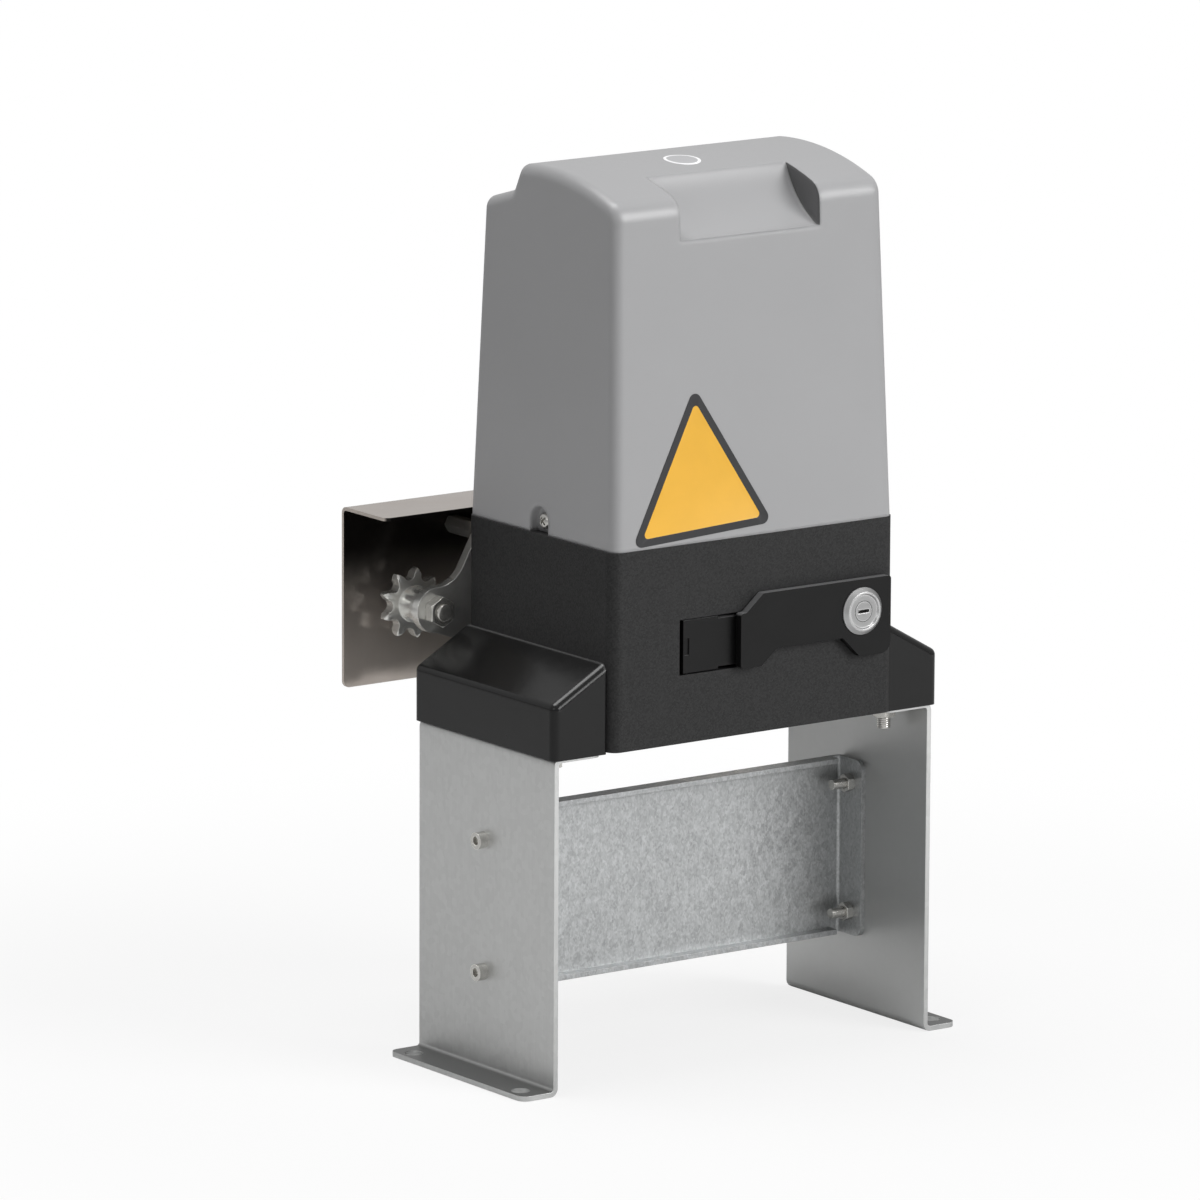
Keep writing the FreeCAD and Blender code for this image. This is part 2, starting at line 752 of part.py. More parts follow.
def base_housing():
    """The casting: a deep box with ears, bearing bosses, rim bosses and pads for the idler arm."""
    casting = body("base_housing")
    plan = sketch(casting, "XY", "bracket_height")
    box_outline(plan, f"-{HALF_HOUSING}", HALF_HOUSING, "-housing_front", "housing_back")
    blank = pad(plan, "housing_height")
    blank = fillet(blank, lambda edge: runs_along(edge, "z"), "housing_corner")
    ears = sketch(casting, "XY", "bracket_height")
    box_outline(ears, f"-({HALF_HOUSING} + ear_reach)", f"{HALF_HOUSING} + ear_reach", "-ear_depth / 2",
                "ear_depth / 2")
    pad(ears, "ear_thickness")
    chamber = sketch(casting, "XY", "bracket_height + housing_floor")
    box_outline(chamber, f"-({HALF_HOUSING} - housing_wall)", f"{HALF_HOUSING} - housing_wall",
                "-(housing_front - front_wall)", "housing_back - housing_wall")
    pocket(chamber, "housing_height", backwards=True)

    bosses = sketch(casting, "XY", "bracket_height + housing_floor")
    for side in (-1, 1):
        circle(bosses, f"{side} * ({HALF_HOUSING} - rim_inset_x)", "housing_back - rim_inset_y",
               "rim_boss_radius")
    pad(bosses, "housing_height - housing_floor")
    back_boss = sketch(casting, "XZ", "-(housing_back - housing_wall)")
    circle(back_boss, "0", SHAFT_Z, "bearing_boss_radius")
    pad(back_boss, "back_boss_depth - housing_wall")
    front_boss = sketch(casting, "XZ", "housing_front - front_wall - front_boss_depth")
    circle(front_boss, "0", SHAFT_Z, "bearing_boss_radius")
    pad(front_boss, "front_boss_depth")
    rotor_boss = sketch(casting, "XY", "bracket_height + housing_floor")
    circle(rotor_boss, f"-{MOTOR_X}", "wheel_setback", "rotor_boss_radius")
    pad(rotor_boss, "rotor_boss_height")

    arm_pads = sketch(casting, "XZ", f"-{ARM_FRONT}")
    for side in (-1, 1):
        for height in ("arm_screw_top", "arm_screw_bottom"):
            circle(arm_pads, f"{side} * arm_screw_spacing_x / 2", f"bracket_height + {height}",
                   "arm_boss_radius")
    pad(arm_pads, "arm_setback")

    bore(casting, "XZ", "-housing_back", "0", SHAFT_Z, "seal_radius + running_clearance", "seal_width",
         backwards=True)
    bore(casting, "XZ", "-(housing_back - back_boss_depth)", "0", SHAFT_Z,
         "bearing_outer_radius + running_clearance", "back_boss_depth - seal_width")
    bore(casting, "XZ", "housing_front - front_wall - front_boss_depth", "0", SHAFT_Z,
         "bearing_outer_radius + running_clearance", "bearing_width + bearing_end_gap", backwards=True)
    bore(casting, "XY", "bracket_height + housing_floor + rotor_boss_height", f"-{MOTOR_X}", "wheel_setback",
         "rotor_bearing_radius + running_clearance", "rotor_bearing_width")

    for side in (-1, 1):
        for way in (-1, 1):
            bore(casting, "XY", EAR_TOP, f"{side} * ({HALF_HOUSING} + mount_bolt_reach)",
                 f"{way} * mount_bolt_spacing_y / 2", "mount_bolt_radius + bolt_clearance", "ear_thickness")
        for along in ("-(housing_front - rim_inset_y)", "housing_back - rim_inset_y"):
            bore(casting, "XY", SEAM, f"{side} * ({HALF_HOUSING} - rim_inset_x)", along,
                 "rim_screw_radius + running_clearance", "rim_screw_length - lid_thickness + screw_end_gap")
        for height in ("arm_screw_top", "arm_screw_bottom"):
            bore(casting, "XZ", f"-{ARM_FRONT}", f"{side} * arm_screw_spacing_x / 2",
                 f"bracket_height + {height}", "arm_screw_radius + running_clearance",
                 "arm_screw_length - arm_thickness + screw_end_gap", backwards=True)

    recess = sketch(casting, "XZ", "housing_front")
    box_outline(recess, "-hinge_pocket_left", "-hinge_pocket_right", "bracket_height + lever_neck_bottom",
                "bracket_height + lever_neck_top")
    pocket(recess, "hinge_pocket_depth")
    bore(casting, "XY", "bracket_height + lever_neck_top + hinge_pin_grip", "-hinge_offset",
         f"-{HINGE_Y}", "hinge_pin_radius + running_clearance",
         "lever_neck_top - lever_neck_bottom + 2 * hinge_pin_grip")
    bore(casting, "XZ", "housing_front", "lock_offset", "bracket_height + lock_height",
         "lock_barrel_radius + lock_pocket_gap",
         "lock_barrel_length - lever_thickness - lever_gap + cam_thickness + lock_pocket_gap")
    return casting


def bore(owner, plane, offset, across, up, radius, depth, backwards=False):
    """A round hole cut from a plane: down from XY, towards +Y from XZ, towards -X from YZ."""
    hole = sketch(owner, plane, offset)
    circle(hole, across, up, radius)
    return pocket(hole, depth, backwards=backwards)


def mounting_fasteners():
    bolts = []
    washers = []
    nuts = []
    for side in (-1, 1):
        for way in (-1, 1):
            name = f"mount_{len(bolts)}"
            across = f"{side} * ({HALF_HOUSING} + mount_bolt_reach)"
            along = f"{way} * mount_bolt_spacing_y / 2"
            bolt = socket_screw(f"{name}_bolt", "mount_head_radius", "mount_head_height",
                                "mount_bolt_radius", "mount_bolt_length")
            bolts.append(placed(bolt, across, along, EAR_TOP))
            ring = washer(f"{name}_washer", "mount_washer_radius", "mount_bolt_radius + bolt_clearance",
                          "mount_washer_thickness")
            washers.append(placed(ring, across, along, f"{LEDGE_BOTTOM} - mount_washer_thickness"))
            hexagon_nut = nut(f"{name}_nut", "mount_nut_flats", "mount_nut_height",
                              "mount_bolt_radius + running_clearance")
            nuts.append(placed(hexagon_nut, across, along,
                               f"{LEDGE_BOTTOM} - mount_washer_thickness - mount_nut_height"))
    return [
        group("mounting_bolts", bolts),
        group("mounting_washers", washers),
        group("mounting_nuts", nuts),
    ]


def end_cap(label, side):
    """A thin moulded shell over the ears: open below and towards the housing."""
    outside = cap_form(f"{label}_outside", side, "0", "0")
    inside = cap_form(f"{label}_inside", side, "cap_wall", "1")
    return cut(label, outside, inside)


def cap_form(label, side, inset, overrun):
    """The cap's outer form, or the same form set in by its wall and run out past both open sides."""
    form = body(label)
    outer = f"({LEG_FACE} + cap_gap + cap_wall)"
    slope = f"((cap_ridge_height - cap_side_height) / ({outer} - {HALF_HOUSING}))"
    drop = f"({inset} * sqrt(1 + {slope} ^ 2))"
    bottom = f"(bracket_height - cap_skirt - {overrun})"
    profile = sketch(form, "XZ")
    outline(profile, [
        (f"{side} * ({HALF_HOUSING} - {overrun})", bottom),
        (f"{side} * ({outer} - {inset})", bottom),
        (f"{side} * ({outer} - {inset})", f"bracket_height + cap_side_height + {inset} * {slope} - {drop}"),
        (f"{side} * ({HALF_HOUSING} - {overrun})", f"bracket_height + cap_ridge_height + {overrun} * {slope} - {drop}"),
    ])
    blank = pad(profile, f"bracket_depth + 2 * (cap_gap + cap_wall - {inset})", symmetric=True)
    housing_end = size("housing_length") / 2
    low = blank.Shape.BoundBox.ZMin

    def ridge(edge):
        at = edge.CenterOfMass
        return runs_along(edge, "y") and abs(at.x) > housing_end + 5 and at.z > low + 5

    def end_edge(edge):
        at = edge.CenterOfMass
        return abs(at.x) > housing_end + 1 and at.z > low + 1 and abs(at.y) > size("bracket_depth") / 2

    rounded = fillet(blank, ridge, f"cap_rounding - {inset}")
    fillet(rounded, end_edge, f"cap_rounding - {inset}")
    return form


def hollow(feature, open_faces, wall):
    """Shell a solid inwards, leaving the named faces open."""
    owner = feature.getParentGeoFeatureGroup()
    shell = owner.newObject("PartDesign::Thickness", f"{owner.Label}_shell")
    shell.Base = (feature, open_faces)
    shell.Reversed = True
    shell.setExpression("Value", bound(wall))
    doc.recompute()
    return shell


def top_cover():
    """The moulded cover: leaning walls, an arched crown, a stepped back and a finger scoop."""
    cover = body("top_cover")

    def leaned(start, lean, height):
        return f"({start} - {lean} * {height} / cover_height)"

    brow = "(cover_height - brow_drop)"
    shoulder = "(cover_height - crown_back_drop - step_depth - shoulder_fall)"
    profile = sketch(cover, "YZ")
    outline(profile, [
        ("-housing_front", SEAM),
        ("housing_back", SEAM),
        (leaned("housing_back", "cover_back_lean", shoulder), f"{SEAM} + {shoulder}"),
        ("crown_back + step_run", f"{CREST} - crown_back_drop - step_depth"),
        ("crown_back", f"{CREST} - crown_back_drop"),
        (f"-{leaned('housing_front', 'cover_front_lean', brow)}", f"{SEAM} + {brow}"),
    ], arcs={4: ("arch_radius", 1)})
    blank = pad(profile, "housing_length", symmetric=True)
    ends = sketch(cover, "XZ")
    lean = "cover_end_lean * (cover_height + notch_depth) / cover_height"
    for side in (-1, 1):
        outline(ends, [
            (f"{side} * ({HALF_HOUSING} - cover_inset)", SEAM),
            (f"{side} * ({HALF_HOUSING} + notch_depth)", SEAM),
            (f"{side} * ({HALF_HOUSING} + notch_depth)", f"{CREST} + notch_depth"),
            (f"{side} * ({HALF_HOUSING} - cover_inset - {lean})", f"{CREST} + notch_depth"),
        ])
    blank = pocket(ends, "4 * housing_front", symmetric=True)

    seam = size("bracket_height") + size("housing_height")
    crest = seam + size("cover_height")

    def long_edge(low, high, front):
        """Edges along the length between two heights, in front of or behind the crown."""
        def test(edge):
            at = edge.CenterOfMass
            level = low < at.z - seam < high
            return abs(at.x) < 1 and edge.BoundBox.XLength > 50 and level and (at.y < 0) == front
        return test

    full = size("cover_height")
    step_low = full - size("crown_back_drop") - size("step_depth")
    rounded = fillet(blank, long_edge(full - size("brow_drop") - 1, full, True), "brow_rounding")
    rounded = fillet(rounded, long_edge(full - size("crown_back_drop") - 1, full, False), "crown_rounding")
    rounded = fillet(rounded, long_edge(step_low - 1, step_low + 1, False), "step_rounding")
    rounded = fillet(rounded, long_edge(step_low - size("shoulder_fall") - 1, step_low - size("shoulder_fall") + 1,
                                        False), "shoulder_rounding")

    def end_edge(edge):
        box = edge.BoundBox
        return box.XLength < 10 and abs(edge.CenterOfMass.x) > size("housing_length") / 2 - 10 and box.ZMax > seam + 1

    rounded = fillet(rounded, end_edge, "cover_edge_rounding")

    scoop = sketch(cover, "YZ")
    outline(scoop, [
        ("-housing_front", f"{CREST} - scoop_drop"),
        ("-(housing_front - scoop_edge - cover_front_lean)", f"{CREST} - scoop_drop"),
        ("-(housing_front - scoop_reach)", CREST),
        ("-housing_front", CREST),
    ], arcs={1: ("scoop_radius", 1)})
    rounded = pocket(scoop, "scoop_width", symmetric=True)

    for side in (-1, 1):
        arch = sketch(cover, "YZ", f"{side} * {HALF_HOUSING}")
        outline(arch, [
            ("-notch_offset - notch_radius", SEAM),
            ("-notch_offset + notch_radius", SEAM),
            ("-notch_offset + notch_radius", f"{SEAM} + notch_height"),
            ("-notch_offset - notch_radius", f"{SEAM} + notch_height"),
        ], arcs={2: (None, 1)})
        rounded = pocket(arch, "2 * notch_depth", symmetric=True)
    open_faces = [f"Face{index}" for index, face in enumerate(rounded.Shape.Faces, start=1)
                  if near(face.BoundBox.ZMax, seam, 0.01)]
    shelled = hollow(rounded, open_faces, "cover_wall")
    for side in (-1, 1):
        hole = sketch(cover, "YZ", f"{side} * ({HALF_HOUSING} - notch_depth)")
        circle(hole, "-notch_offset", f"{SEAM} + notch_height", "cover_screw_radius + bolt_clearance")
        pocket(hole, "3 * cover_wall", symmetric=True)
    return cover


def cover_screws():
    screws = []
    for side in (-1, 1):
        name = f"cover_screw_{len(screws)}"
        screw = socket_screw(name, "cover_head_radius", "cover_head_height", "cover_screw_radius",
                             "cover_screw_length")
        placed(screw, f"{side} * ({HALF_HOUSING} - notch_depth)", "-notch_offset", f"{SEAM} + notch_height",
               TURN["+x" if side > 0 else "-x"])
        screws.append(screw)
    return [group("cover_screws", screws)]


# ---------------------------------------------------------------- release lever and lock

def release_lever():
    """A flat handle on the front face, with an arm and a knuckle in the hinge recess."""
    lever = body("release_lever")
    face = sketch(lever, "XZ", LEVER_BACK)
    outline(face, [
        ("-lever_start", "bracket_height + lever_neck_bottom"),
        ("lever_foot_end", "bracket_height + lever_neck_bottom"),
        ("lever_foot_end + lever_foot_run", "bracket_height + lever_bar_bottom"),
        ("lever_pad_start", "bracket_height + lever_bar_bottom"),
        ("lever_pad_start + lever_pad_run", "bracket_height + lever_bottom"),
        ("lever_length", "bracket_height + lever_bottom"),
        ("lever_length", "bracket_height + lever_top"),
        ("lever_shoulder_run - lever_shoulder_back", "bracket_height + lever_top"),
        ("-lever_shoulder_back", "bracket_height + lever_neck_top"),
        ("-lever_start", "bracket_height + lever_neck_top"),
    ])
    plate = pad(face, "lever_thickness")
    heel_x = size("lever_length")
    heel_z = size("bracket_height") + size("lever_bottom")

    def heel(edge):
        at = edge.CenterOfMass
        return runs_along(edge, "y") and near(at.x, heel_x) and near(at.z, heel_z)

    plate = fillet(plate, lambda edge: runs_along(edge, "y") and not heel(edge), "lever_rounding")
    plate = fillet(plate, heel, "lever_heel_rounding")
    low = "bracket_height + lever_neck_bottom + hinge_side_gap"
    tall = "lever_neck_top - lever_neck_bottom - 2 * hinge_side_gap"
    arm_back = "-(housing_front - lever_seat - hinge_arm_thickness)"
    arm = sketch(lever, "XY", low)
    box_outline(arm, "-(hinge_offset + hinge_barrel_radius)", "-hinge_waist_start", "-(housing_front - lever_seat)",
                arm_back)
    pad(arm, tall)
    waist = sketch(lever, "XY", f"{low} + hinge_waist")
    box_outline(waist, "-hinge_waist_start", "-hinge_arm_end", "-(housing_front - lever_seat)", arm_back)
    pad(waist, f"{tall} - 2 * hinge_waist")
    bridge = sketch(lever, "XY", f"{low} + hinge_waist")
    box_outline(bridge, "-(lever_start - bridge_inset)", "-hinge_arm_end", f"-{LEVER_FRONT} + bridge_inset", arm_back)
    pad(bridge, f"{tall} - 2 * hinge_waist")
    knuckle = sketch(lever, "XY", low)
    circle(knuckle, "-hinge_offset", f"-{HINGE_Y}", "hinge_barrel_radius")
    pad(knuckle, tall)
    notch = sketch(lever, "XZ", "housing_front - lever_seat")
    left = "-(hinge_offset + hinge_barrel_radius - bridge_inset)"
    middle = "bracket_height + (lever_neck_top + lever_neck_bottom) / 2"
    box_outline(notch, left, f"{left} + hinge_notch_length", f"{middle} - hinge_notch_height / 2",
                f"{middle} + hinge_notch_height / 2")
    pocket(notch, "hinge_notch_depth")
    bore(lever, "XY", "bracket_height + lever_neck_top", "-hinge_offset", f"-{HINGE_Y}",
         "hinge_pin_radius + running_clearance", "lever_neck_top - lever_neck_bottom")
    bore(lever, "XZ", LEVER_FRONT, "lock_offset", "bracket_height + lock_height",
         "lock_barrel_radius + running_clearance", "2 * lever_thickness")
    return lever


def hinge_pin():
    pin_rod = cylinder("lever_hinge_pin", "hinge_pin_radius",
                       "lever_neck_top - lever_neck_bottom + 2 * (hinge_pin_grip - hinge_pin_gap)")
    placed(pin_rod, "-hinge_offset", f"-{HINGE_Y}", "bracket_height + lever_neck_bottom - hinge_pin_grip + hinge_pin_gap")
    return pin_rod


def lock_body():
    """The lock turned in one piece: a bevelled, dished disc in front of the lever and its barrel behind."""
    lock = body("lock_body")
    half = sketch(lock, "XZ")
    bore_radius = "lock_plug_radius + running_clearance"
    floor = "lock_rim_height - lock_dish_depth"
    outline(half, [
        (bore_radius, "-lock_barrel_length"),
        ("lock_barrel_radius", "-lock_barrel_length"),
        ("lock_barrel_radius", "0"),
        ("lock_radius", "0"),
        ("lock_radius", "lock_edge_height"),
        ("lock_crown_radius", "lock_rim_height"),
        ("lock_dish_radius", "lock_rim_height"),
        ("lock_dish_radius - lock_dish_slope", floor),
        (bore_radius, floor),
    ])
    revolve(half)
    return placed(lock, "lock_offset", f"-{LEVER_FRONT}", "bracket_height + lock_height", TURN["-y"])


def lock_plug():
    """The plug that the key turns, with its slot."""
    plug = cylinder("plug_rod", "lock_plug_radius", "lock_barrel_length + lock_rim_height - lock_dish_depth",
                    "-lock_barrel_length")
    slot = block("plug_slot", "key_slot_length", "key_slot_width", "2 * key_slot_depth")
    placed(slot, "-key_slot_length / 2", "-key_slot_width / 2", "lock_rim_height - lock_dish_depth - key_slot_depth")
    keyed = cut("lock_plug", plug, slot)
    return placed(keyed, "lock_offset", f"-{LEVER_FRONT}", "bracket_height + lock_height", TURN["-y"])


def lock_cam():
    tongue = block("lock_cam", "cam_length + cam_width / 2", "cam_thickness", "cam_width")
    return placed(tongue, "lock_offset - cam_width / 2", f"-{LEVER_FRONT} + lock_barrel_length",
                  "bracket_height + lock_height - cam_width / 2")


# ---------------------------------------------------------------- gear train

def output_shaft():
    """Stepped shaft along +Y: front journal, collar behind the wheel, seat and thread for the sprocket."""
    front = "-(housing_front - front_wall - shaft_end_gap)"
    back_end = "(chain_plane + tooth_width / 2)"
    collar_start = "(wheel_setback + wheel_width / 2)"
    journal = cylinder("shaft_rod", "shaft_radius", f"{back_end} - ({front})", front)
    collar = cylinder("shaft_collar", "shaft_collar_radius",
                      f"housing_back - back_boss_depth - {collar_start} - bearing_end_gap", collar_start)
    thread = cylinder("shaft_thread", "shaft_thread_radius", "shaft_nut_height + shaft_thread_end", back_end)
    keyway = block("shaft_keyway", "key_width + 2 * running_clearance", "key_height", "2 * tooth_width")
    placed(keyway, "-(key_width / 2 + running_clearance)", "-shaft_radius", f"{back_end} - 2 * tooth_width")
    shaft = cut("output_shaft", fuse("shaft_blank", [journal, collar, thread]), keyway)
    return placed(shaft, "0", "0", SHAFT_Z, TURN["+y"])


def sprocket_key():
    """The key lies half in the shaft and half in the sprocket."""
    key = block("sprocket_key", "key_width", "2 * (tooth_width - key_clearance)",
                "2 * (key_height - key_clearance)")
    return placed(key, "-key_width / 2", "chain_plane - 1.5 * tooth_width + key_clearance",
                  f"{SHAFT_Z} + shaft_radius - key_height + key_clearance")


def shaft_nut():
    ring = nut("shaft_nut", "shaft_nut_flats", "shaft_nut_height", "shaft_thread_radius + running_clearance")
    return placed(ring, "0", "chain_plane + tooth_width / 2", SHAFT_Z, TURN["+y"])


def ring(name, outer, inner, width, across, along, up, turn):
    """A bearing, seal or bush drawn as one plain ring."""
    return placed(washer(name, outer, inner, width), across, along, up, TURN[turn])


def shaft_bearings():
    """Both ball bearings of the output shaft, as closed rings."""
    front = ring("shaft_bearing_front", "bearing_outer_radius", "shaft_radius + running_clearance", "bearing_width",
                 "0", "-(housing_front - front_wall - front_boss_depth) - bearing_width", SHAFT_Z, "+y")
    back = ring("shaft_bearing_back", "bearing_outer_radius", "shaft_radius + running_clearance", "bearing_width",
                "0", "housing_back - seal_width - bearing_width", SHAFT_Z, "+y")
    return group("shaft_bearings", [front, back])


def oil_seal():
    return ring("oil_seal", "seal_radius", "shaft_radius + running_clearance", "seal_width - bearing_end_gap",
                "0", "housing_back - seal_width + bearing_end_gap", SHAFT_Z, "+y")


def gear_profile():
    """Half widths of the basic rack at its tip, on its pitch line and at its root, and its two heights."""
    module = size("gear_module")
    slope = math.tan(math.radians(size("flank_angle")))
    depth = module + size("gear_root_gap")
    half = (math.pi * module - size("gear_backlash")) / 4
    return half - module * slope, half + depth * slope, module, depth


def worm_wheel():
    """The bronze wheel: teeth that lean with the worm's lead, on a rim with a thinner web."""
    tip_half, root_half, rise, depth = gear_profile()
    teeth = int(size("wheel_teeth"))
    width = size("wheel_width")
    pitch_radius = size("gear_module") * teeth / 2
    lean = width * size("gear_module") / (2 * size("worm_pitch_radius")) / pitch_radius

    def section(height, turn):
        corners = []
        for tooth in range(teeth):
            middle = math.pi + (tooth + 0.5) * math.tau / teeth + turn
            for radius, half in ((pitch_radius - depth, -root_half), (pitch_radius + rise, -tip_half),
                                 (pitch_radius + rise, tip_half), (pitch_radius - depth, root_half)):
                angle = middle + half / radius
                corners.append(Vector(radius * math.cos(angle), radius * math.sin(angle), height))
        return Part.makePolygon(corners + corners[:1])

    blank = Part.makeLoft([section(0, -lean / 2), section(width, lean / 2)], True, True)
    over = size("tool_overrun")
    tools = [Part.makeCylinder(size("shaft_radius") + size("running_clearance"), width + 2 * over,
                               Vector(0, 0, -over))]
    hub = size("wheel_hub_radius")
    rim = pitch_radius - depth - size("wheel_rim")
    for level in (-size("wheel_recess"), width - size("wheel_recess")):
        ring_tool = Part.makeCylinder(rim, 2 * size("wheel_recess"), Vector(0, 0, level))
        tools.append(ring_tool.cut(Part.makeCylinder(hub, 2 * size("wheel_recess"), Vector(0, 0, level))))
    return solid_piece("worm_wheel", blank.cut(tools), "0", "wheel_setback - wheel_width / 2", SHAFT_Z, "+y")


def worm():
    """A single right-hand thread on its core, in mesh with the wheel at the shaft's height."""
    tip_half, root_half, rise, depth = gear_profile()
    pitch_radius = size("worm_pitch_radius")
    lead = math.pi * size("gear_module")
    turns = int(size("worm_turns"))
    root = pitch_radius - depth
    slope = math.tan(math.radians(size("flank_angle")))
    sunk = size("running_clearance")
    corners = [Vector(root - sunk, 0, -root_half - sunk * slope), Vector(pitch_radius + rise, 0, -tip_half),
               Vector(pitch_radius + rise, 0, tip_half), Vector(root - sunk, 0, root_half + sunk * slope)]
    path = Part.Wire(Part.makeHelix(lead, turns * lead, pitch_radius).Edges)
    thread = path.makePipeShell([Part.makePolygon(corners + corners[:1])], True, True)
    shoulder = size("worm_shoulder")
    core = Part.makeCylinder(root, turns * lead + 2 * shoulder, Vector(0, 0, -shoulder))
    screw = doc.addObject("Part::Feature", "worm")
    screw.Shape = core.fuse(thread)
    return placed(screw, "0", "0", f"{SHAFT_Z} - {turns // 2} * pi * gear_module")


def rotor_shaft():
    """The motor's shaft with the worm cut on its lower end."""
    foot = "(bracket_height + housing_floor + rotor_boss_height - rotor_bearing_width)"
    length = f"({LID_TOP} + 2 * bell_height + stator_height - bell_wall - shaft_end_gap - {foot})"
    rod = cylinder("rotor_shaft_rod", "rotor_shaft_radius", length, foot)
    return placed(fuse("rotor_shaft", [rod, worm()]), f"-{MOTOR_X}", "wheel_setback", "0")


def rotor_core():
    core = cylinder("rotor_core_disc", "stator_bore - air_gap", "stator_height - 2 * rotor_end_gap")
    hole = cylinder("rotor_core_hole", "rotor_shaft_radius + running_clearance", "stator_height",
                    "-tool_overrun")
    return placed(cut("rotor_core", core, hole), f"-{MOTOR_X}", "wheel_setback", f"{LID_TOP} + bell_height + rotor_end_gap")


def rotor_bearings():
    rings = []
    for level in ("bracket_height + housing_floor + rotor_boss_height - rotor_bearing_width",
                  f"{LID_TOP} - rotor_bearing_width",
                  f"{LID_TOP} + 2 * bell_height + stator_height - bell_wall - rotor_bearing_width"):
        rings.append(ring(f"rotor_bearing_{len(rings)}", "rotor_bearing_radius",
                          "rotor_shaft_radius + running_clearance", "rotor_bearing_width",
                          f"-{MOTOR_X}", "wheel_setback", level, "+z"))
    return group("rotor_bearings", rings)


# ---------------------------------------------------------------- lid and motor

def gearbox_lid():
    """The plate that closes the gear chamber, carries the motor and takes the cover's side screws."""
    lid = body("gearbox_lid")
    plan = sketch(lid, "XY", SEAM)
    half = f"({HALF_HOUSING} - notch_depth - cover_wall - lid_gap)"
    box_outline(plan, f"-{half}", half, "-(housing_front - cover_wall - lid_gap)",
                "housing_back - cover_wall - lid_gap")
    plate = pad(plan, "lid_thickness")
    fillet(plate, lambda edge: runs_along(edge, "z"), "housing_corner - cover_wall")
    bore(lid, "XY", LID_TOP, f"-{MOTOR_X}", "wheel_setback", "rotor_bearing_radius + running_clearance",
         "rotor_bearing_width")
    bore(lid, "XY", LID_TOP, f"-{MOTOR_X}", "wheel_setback", "rotor_shaft_radius + shaft_way_gap",
         "lid_thickness + tool_overrun")
    for side in (-1, 1):
        for along in ("-(housing_front - rim_inset_y)", "housing_back - rim_inset_y"):
            bore(lid, "XY", LID_TOP, f"{side} * ({HALF_HOUSING} - rim_inset_x)", along,
                 "rim_screw_radius + running_clearance", "lid_thickness + tool_overrun")
    for side in (-1, 1):
        hole = sketch(lid, "YZ", f"{side} * {half}")
        circle(hole, "-notch_offset", f"{SEAM} + notch_height", "cover_screw_radius + running_clearance")
        pocket(hole, "2 * cover_screw_length - 2 * cover_wall", symmetric=True)
    return lid


def lid_screws():
    screws = []
    for side in (-1, 1):
        for along in ("-(housing_front - rim_inset_y)", "housing_back - rim_inset_y"):
            screw = socket_screw(f"lid_screw_{len(screws)}", "rim_head_radius", "rim_head_height",
                                 "rim_screw_radius", "rim_screw_length")
            screws.append(placed(screw, f"{side} * ({HALF_HOUSING} - rim_inset_x)", along, LID_TOP))
    return group("lid_screws", screws)


def motor_bell(label, upper):
    """An end bell: a cup with a bearing seat; the upper one is the same casting turned over."""
    outside = cylinder(f"{label}_outside", MOTOR_RADIUS, "bell_height")
    inside = cylinder(f"{label}_inside", f"{MOTOR_RADIUS} - bell_wall", "bell_height", "bell_wall")
    cup = cut(f"{label}_cup", outside, inside)
    if upper:
        hub = cylinder(f"{label}_hub", "rotor_bearing_radius + bell_wall", "bell_wall + rotor_bearing_width")
        seat = cylinder(f"{label}_seat", "rotor_bearing_radius + running_clearance", "bell_height", "bell_wall")
        bell = cut(label, fuse(f"{label}_blank", [cup, hub]), seat)
        return placed(bell, f"-{MOTOR_X}", "wheel_setback", f"{LID_TOP} + 2 * bell_height + stator_height",
                      TURN["-z"])
    way = cylinder(f"{label}_way", "rotor_shaft_radius + shaft_way_gap", "bell_height + 2 * tool_overrun",
                   "-tool_overrun")
    return placed(cut(label, cup, way), f"-{MOTOR_X}", "wheel_setback", LID_TOP)


def motor_stator():
    """The wound stator pack between the bells."""
    pack = washer("motor_stator", MOTOR_RADIUS, "stator_bore", "stator_height")
    return placed(pack, f"-{MOTOR_X}", "wheel_setback", f"{LID_TOP} + bell_height")


# ---------------------------------------------------------------- electrics

def control_board():
    """The circuit board, upright in front of the motor."""
    board = block("control_board", "board_length", "board_thickness", "board_height")
    return placed(board, f"{BOARD_X} - board_length / 2", "-(housing_front - board_setback)",
                  f"{LID_TOP} + board_lift")


def board_frame():
    """The moulded carrier that holds the board by its lower edge and stands on the lid."""
    frame = body("board_frame")
    side_view = sketch(frame, "YZ")
    front = "-(housing_front - board_setback)"
    outline(side_view, [
        (f"{front} - frame_foot", LID_TOP),
        (f"{front} + frame_back", LID_TOP),
        (f"{front} + frame_back", f"{LID_TOP} + board_lift + frame_grip"),
        (f"{front} + board_thickness + frame_clearance", f"{LID_TOP} + board_lift + frame_grip"),
        (f"{front} + board_thickness + frame_clearance", f"{LID_TOP} + board_lift - frame_clearance"),
        (f"{front} - frame_clearance", f"{LID_TOP} + board_lift - frame_clearance"),
        (f"{front} - frame_clearance", f"{LID_TOP} + board_lift + frame_grip"),
        (f"{front} - frame_wall", f"{LID_TOP} + board_lift + frame_grip"),
        (f"{front} - frame_wall", f"{LID_TOP} + frame_wall"),
        (f"{front} - frame_foot", f"{LID_TOP} + frame_wall"),
    ])
    pad(side_view, "board_length - 2 * frame_back", symmetric=True)
    return placed(frame, BOARD_X)


